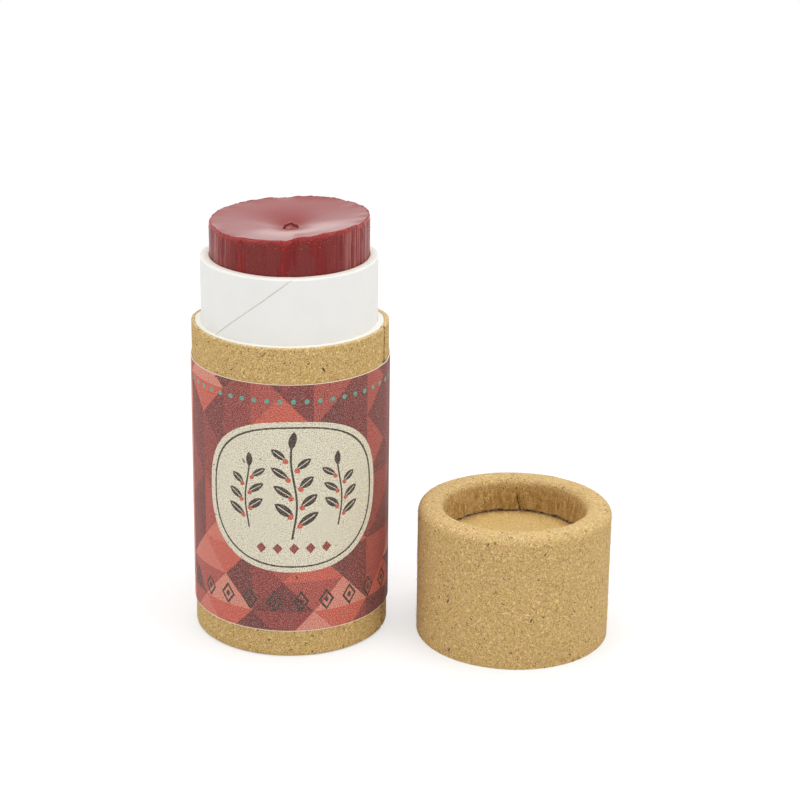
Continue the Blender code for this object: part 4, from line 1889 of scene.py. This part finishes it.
@dataclass
class Cap(TurnedPart):
    """The cap beside the tube: kraft facing rolled in over the disc, with fluff at its raw end."""

    columns: int = 640
    height: float = 19.53 * MM
    radius: float = 13.80 * MM
    bore: float = 10.06 * MM
    curl_leg: float = 5.28 * MM
    facing: float = 0.39 * MM
    hem: float = 1.2 * MM
    seam_gap: float = 0.02 * MM
    seam_degrees: float = 84.0
    crease_depth: float = 0.26 * MM
    crease_count: int = 52
    leg_zone: tuple[float, float] = (11.6 * MM, 10.4 * MM)
    wall_zone: tuple[float, float] = (12.6 * MM, 13.6 * MM)
    ripple: float = 0.020 * MM
    crown_ripple: float = 0.045 * MM
    raw_end_ripple: float = 0.15 * MM
    skew: float = 0.58 * MM

    def build(self) -> None:
        """Makes the facing and what grows on it."""
        piece = self.make_facing()
        fit(piece, Body.CAP, Slot.KRAFT, "cap_kraft_facing")
        self.grow_fluff(piece)

    def make_facing(self) -> bpy.types.Object:
        """The kraft paper, puckered where the curl pressed it together.

        Returns:
            The piece.
        """
        stock = CurledStock(
            self.height,
            self.curl_leg,
            outer_round=1.40 * MM,
            inner_round=1.10 * MM,
            mouth_round=0.0,
            radius=self.radius,
        )
        line = stock.ply(0.0, self.facing, 0.16 * MM, 0.9 * MM, self.hem).turned_over(self.height)
        seam = Seam(self.seam_degrees, self.seam_gap)
        sheet = self.sheet("cap_kraft", line, seam, self.kit.kraft_cap)
        depth = self.height - sheet.height
        down = depth / self.curl_leg
        inner = rise(sheet.radius, *self.leg_zone)
        crease = inner * self.creases(sheet.angle, down)
        swell = Unevenness(75, 40, 5).at(sheet.angle, down)
        lean = 0.24 * np.clip(1.0 - down, 0.0, 1.0) ** 2 - 0.20 * down**2
        sheet.radius += inner * (lean - 0.035 * (1.0 + swell)) * MM + crease * self.crease_depth
        crown = smooth(1.0 - down * 2.2)
        sheet.height += crown * self.crown_ripple * (Unevenness(72, 22).at(sheet.angle) - 1.0)
        raw = inner * smooth((down - 0.75) / 0.25)
        ragged = Unevenness(73, 44).at(sheet.angle) + 0.5 * Unevenness(76, 230).at(sheet.angle)
        sheet.height += raw * self.raw_end_ripple * (ragged + 0.9)
        # Painted shade down the leg, in its creases and under its raw end
        sheet.keep(PAINTED_SHADE, inner * self.leg_shade(sheet.angle, down, swell, crease))
        # Crown paler from wear and stretching, with a painted highlight; a painted highlight fading down
        # the leg's upper part
        band = rise(depth, 0.95 * MM, 0.45 * MM) * (1.0 - inner)
        lit_upper_leg = (1.0 - smooth(depth / (2.4 * MM))) * inner
        sheet.keep(WEAR_AND_HIGHLIGHT, (band + lit_upper_leg) * (0.36 + 0.12 * Unevenness(77, 70, 4).at(sheet.angle)))
        outside = rise(sheet.radius, *self.wall_zone)
        up = sheet.height / self.height
        sheet.radius -= self.ripple * outside * (1.0 + Unevenness(74, 24, 6).at(sheet.angle, up))
        raised = np.clip((sheet.height - self.height + self.curl_leg) / self.curl_leg, 0.0, None)
        sheet.height -= self.skew * raised * sheet.radius * np.sin(sheet.angle) / self.radius
        return sheet.close()

    def leg_shade(
        self, angle: np.ndarray, down: np.ndarray, swell: np.ndarray, crease: np.ndarray
    ) -> np.ndarray:
        """Painted shade on the curl's leg, brown and mottled: most towards its raw end and in its
        creases.

        Args:
            angle: Angle round the axis.
            down: Share of the way down the leg.
            swell: Unevenness of the leg, from -1 to 1.
            crease: Depth of the creases, from 0 to 1.

        Returns:
            From 0 to 0.87, and up to 0.98 where the painted shadow is nearly black.
        """
        mottle = np.clip(Unevenness(78, 90, 9).at(angle, down), 0.0, 1.0)
        brown = smooth((down - 0.02) / 0.55) * (0.44 + 0.20 * swell + 0.62 * mottle)
        brown += 0.20 * smooth((down - 0.9) / 0.1) + 0.5 * crease
        black = smooth((down - 0.975) / 0.02) + smooth((crease - 0.75) / 0.1)
        return np.clip(brown, 0.0, 0.87) + 0.11 * np.clip(black, 0.0, 1.0)

    def creases(self, angle: np.ndarray, down: np.ndarray) -> np.ndarray:
        """Depth of the upright creases on the curl's leg, the last of them over the seam.

        Args:
            angle: Angle round the axis.
            down: Share of the way down the leg.

        Returns:
            The depth at each point, from 0 to 1.
        """
        chance = np.random.default_rng(79)
        found = np.zeros_like(angle)
        places = np.linspace(0.0, math.tau, self.crease_count, endpoint=False)
        places = places + chance.uniform(-0.06, 0.06, self.crease_count)
        for place in (*places, math.radians(self.seam_degrees)):
            at_seam = place == math.radians(self.seam_degrees)
            wide = chance.uniform(0.012, 0.040)
            deep = 0.9 if at_seam else 0.6 * chance.uniform(0.2, 1.0) ** 1.4
            start, lean, sway = chance.uniform((0.05, -0.03, 0.0), (0.50, 0.03, math.tau))
            bend = lean * down + (0.022 if at_seam else 0.010) * np.sin(sway + 8.0 * down)
            off = np.mod(angle - place - bend + math.pi, math.tau) - math.pi
            found = np.maximum(found, deep * hump(off, wide) * smooth((down - start) / 0.3))
        return found

    def grow_fluff(self, piece: bpy.types.Object) -> None:
        """Pale fluff at the raw end, fuzz on the crown and the wall, and a few dark hairs.

        Args:
            piece: The facing.
        """

        def at_raw_end(middle: Vector) -> bool:
            """Whether this place lies at the raw end."""
            above = middle.z - self.height + self.curl_leg
            return above < 0.35 * MM and self.away(middle) < self.bore + 0.5 * MM

        def on_crown(middle: Vector) -> bool:
            """Whether this place lies on the crown or the wall."""
            return middle.z > 1.0 * MM and self.away(middle) > self.wall_zone[0]

        fluff, hair = self.kit.fluff, self.kit.hair
        inputs = ("Density", "Length", "Thickness", "Stand", "Bend", "Lift", "Seed", "Material")
        for name, wanted, *values in (
            ("cap_fluff", at_raw_end, 1.0e7, 0.90 * MM, 0.045 * MM, 0.55, 0.35, 0.50, 5, fluff),
            ("cap_fuzz", on_crown, 1.2e6, 0.55 * MM, 0.030 * MM, 0.35, 0.35, 0.20, 17, fluff),
            ("cap_hairs", on_crown, 0.8e4, 2.20 * MM, 0.070 * MM, 0.00, 0.30, 0.03, 11, hair),
        ):
            grown = self.kit.fibres.grow(name, patch(piece, wanted), dict(zip(inputs, values)))
            fit(grown, Body.CAP, Slot.KRAFT)


# Room, lamps and camera


@dataclass
class Studio:
    """Pale floor, soft light from all sides and a camera at the photograph's angle."""

    lens: float = 108.748
    place: Place = (-0.000447, -0.318341, 0.15417)
    pitch_degrees: float = 20.64
    roll_degrees: float = 0.682
    world_level: float = 0.53
    floor_reach: float = 3.0
    floor_light: Colour = (0.70, 0.70, 0.70)
    floor_look: Colour = (0.95, 0.95, 0.95)

    def build(self) -> None:
        """Sets up the room."""
        self.make_camera()
        self.make_world()
        self.make_floor()
        self.make_lamp("lamp_above", (0.02, 0.02, 0.75), (0.0, 0.0, 0.02), 0.60, 4.2)
        self.make_lamp("lamp_left", (-0.65, -0.38, 0.33), (0.0, 0.0, 0.03), 0.50, 1.62)
        self.make_lamp("lamp_right", (0.65, -0.38, 0.33), (0.0, 0.0, 0.03), 0.50, 1.80)
        bpy.context.scene.view_settings.view_transform = "Standard"

    def make_camera(self) -> None:
        """The camera, as fitted to the photograph."""
        data = bpy.data.cameras.new("camera")
        data.sensor_width = 36.0
        data.lens = self.lens
        data.clip_start = 0.01
        data.clip_end = 20.0
        camera = in_scene("camera", data)
        tip = Matrix.Rotation(math.radians(90.0 - self.pitch_degrees), 4, "X")
        roll = Matrix.Rotation(math.radians(self.roll_degrees), 4, "Z")
        camera.matrix_world = Matrix.Translation(self.place) @ tip @ roll
        bpy.context.scene.camera = camera

    def make_world(self) -> None:
        """White all round to look at, a little less to light with."""
        world = bpy.data.worlds.new("white_room")
        world.use_nodes = True
        graph = Graph(world.node_tree)
        graph.tree.nodes.clear()
        plain, shown = (
            graph.node("ShaderNodeBackground", {}, {"Color": WHITE, "Strength": level}).outputs[0]
            for level in (self.world_level, 1.0)
        )
        mixed = graph.node("ShaderNodeMixShader", {}, {0: seen_directly(graph), 1: plain, 2: shown})
        graph.node("ShaderNodeOutputWorld", {}, {"Surface": mixed.outputs[0]})
        bpy.context.scene.world = world

    def make_floor(self) -> None:
        """A wide plane that looks white and keeps the object's soft shadow."""
        mesh = bpy.data.meshes.new("floor")
        corners = [(-1, -1), (1, -1), (1, 1), (-1, 1)]
        reach = self.floor_reach
        mesh.from_pydata([(x * reach, y * reach, 0.0) for x, y in corners], [], [(0, 1, 2, 3)])
        material = bpy.data.materials.new("floor_white")
        material.use_nodes = True
        graph = Graph(material.node_tree)
        graph.tree.nodes.clear()
        seen = seen_directly(graph)
        shade = graph.mix(seen, self.floor_light, self.floor_look)
        matt = graph.node("ShaderNodeBsdfDiffuse", {}, {"Color": shade}).outputs[0]
        glow = graph.node("ShaderNodeEmission", {}, {"Color": WHITE, "Strength": 1.0}).outputs[0]
        x, y, _ = graph.split(graph.node("ShaderNodeTexCoord").outputs["Object"])
        far = graph.step((x * x + y * y) ** 0.5, 0.10, 0.32)
        glowing = seen * (0.5 + 0.5 * far)
        mixed = graph.node("ShaderNodeMixShader", {}, {0: glowing, 1: matt, 2: glow})
        graph.node("ShaderNodeOutputMaterial", {}, {"Surface": mixed.outputs[0]})
        mesh.materials.append(material)
        floor = in_scene("floor", mesh)

    def make_lamp(self, name: str, place: Place, aim: Place, size: float, power: float) -> None:
        """Adds a soft square lamp.

        Args:
            name: The lamp's name.
            place: Where it stands.
            aim: The point that it faces.
            size: Its side, in metres.
            power: Its power in watts.
        """
        data = bpy.data.lights.new(name, "AREA")
        data.shape = "SQUARE"
        data.size = size
        data.energy = power
        look = (Vector(aim) - Vector(place)).to_track_quat("-Z", "Y")
        in_scene(name, data).matrix_world = Matrix.Translation(place) @ look.to_matrix().to_4x4()


def seen_directly(graph: Graph) -> Wire:
    """Tells direct looks from light.

    Args:
        graph: The floor's or the world's tree.

    Returns:
        1 for rays from the camera, and for what gloss and clear things show.
    """
    path = graph.node("ShaderNodeLightPath")
    kinds = ("Camera", "Glossy", "Transmission")
    rays = [Wire(graph, path.outputs[f"Is {kind} Ray"]) for kind in kinds]
    return rays[0].most(rays[1]).most(rays[2])


def make_kit(cap_axis: Vector) -> Kit:
    """Makes the trees and the finishes.

    Args:
        cap_axis: Axis of the cap, round which its disc gets painted shade.

    Returns:
        What the sub-assemblies share.
    """
    return Kit(
        turning=TurningTree(),
        fibres=FibreTree(),
        crumbs=CrumbTree(),
        kraft=Kraft("kraft_body").material(),
        kraft_cap=Kraft("kraft_cap", base=(0.522, 0.302, 0.077), shift=53.0).material(),
        kraft_disc=Kraft(
            "kraft_disc",
            base=(0.585, 0.395, 0.134),
            light=(0.745, 0.545, 0.232),
            dark=(0.375, 0.223, 0.070),
            shift=91.0,
            speckling=0.35,
            middle=tuple(cap_axis.to_2d()),
        ).material(),
        board=PlainPaper("white_board", (0.84, 0.83, 0.79), (0.78, 0.76, 0.70), 0.80).material(),
        cut_board=PlainPaper("cut_board", (0.82, 0.805, 0.75), (0.77, 0.75, 0.68), 0.80).material(),
        white=PlainPaper("white_facing", (0.84, 0.835, 0.81), (0.81, 0.805, 0.78), 0.58).material(),
        greaseproof=PlainPaper("greaseproof", (0.80, 0.77, 0.69), (0.72, 0.68, 0.58), 0.42).material(),
        grey=PlainPaper("grey_board", (0.45, 0.40, 0.33), (0.32, 0.27, 0.21), 0.88, 0.8).material(),
        label=PrintedLabel("label_print", width=87.84, height=36.87).material(),
        tint=WaxTint("berry_wax").material(),
        fluff=PlainPaper("pale_fibre", (0.74, 0.62, 0.44), (0.54, 0.40, 0.22), 0.85).material(),
        hair=PlainPaper("dark_fibre", (0.10, 0.08, 0.06), (0.16, 0.11, 0.07), 0.80).material(),
        crumb=PlainPaper("wax_crumb", (0.56, 0.09, 0.064), (0.33, 0.03, 0.024), 0.34).material(),
    )


def main() -> None:
    """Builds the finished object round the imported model."""
    logging.basicConfig(level=logging.INFO, format="%(message)s")
    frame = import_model()
    Studio().build()
    body_axis = axis_of("body_board_tube")
    neck_axis = body_axis + Vector((-NECK_SHIFT, 0.0, 0.0))
    cap_axis = axis_of("cap_disc_board")
    kit = make_kit(cap_axis)
    PaperBody(kit, body_axis).build()
    Neck(kit, neck_axis).build()
    TintStick(kit, neck_axis).build()
    Cap(kit, cap_axis).build()
    for name, finish in (
        ("cap_board_tube", kit.board),
        ("cap_disc_kraft_paper", kit.kraft_disc),
        ("cap_disc_board", kit.grey),
        ("cap_disc_greaseproof_lining", kit.greaseproof),
        ("pusher_skirt", kit.grey),
        ("push_disc", kit.grey),
        ("greaseproof_disc", kit.greaseproof),
    ):
        dress(frame["nodes"][name], finish)
        LOG.info("%s: kept, in %s", name, finish.name)


if __name__ == "__main__":
    main()
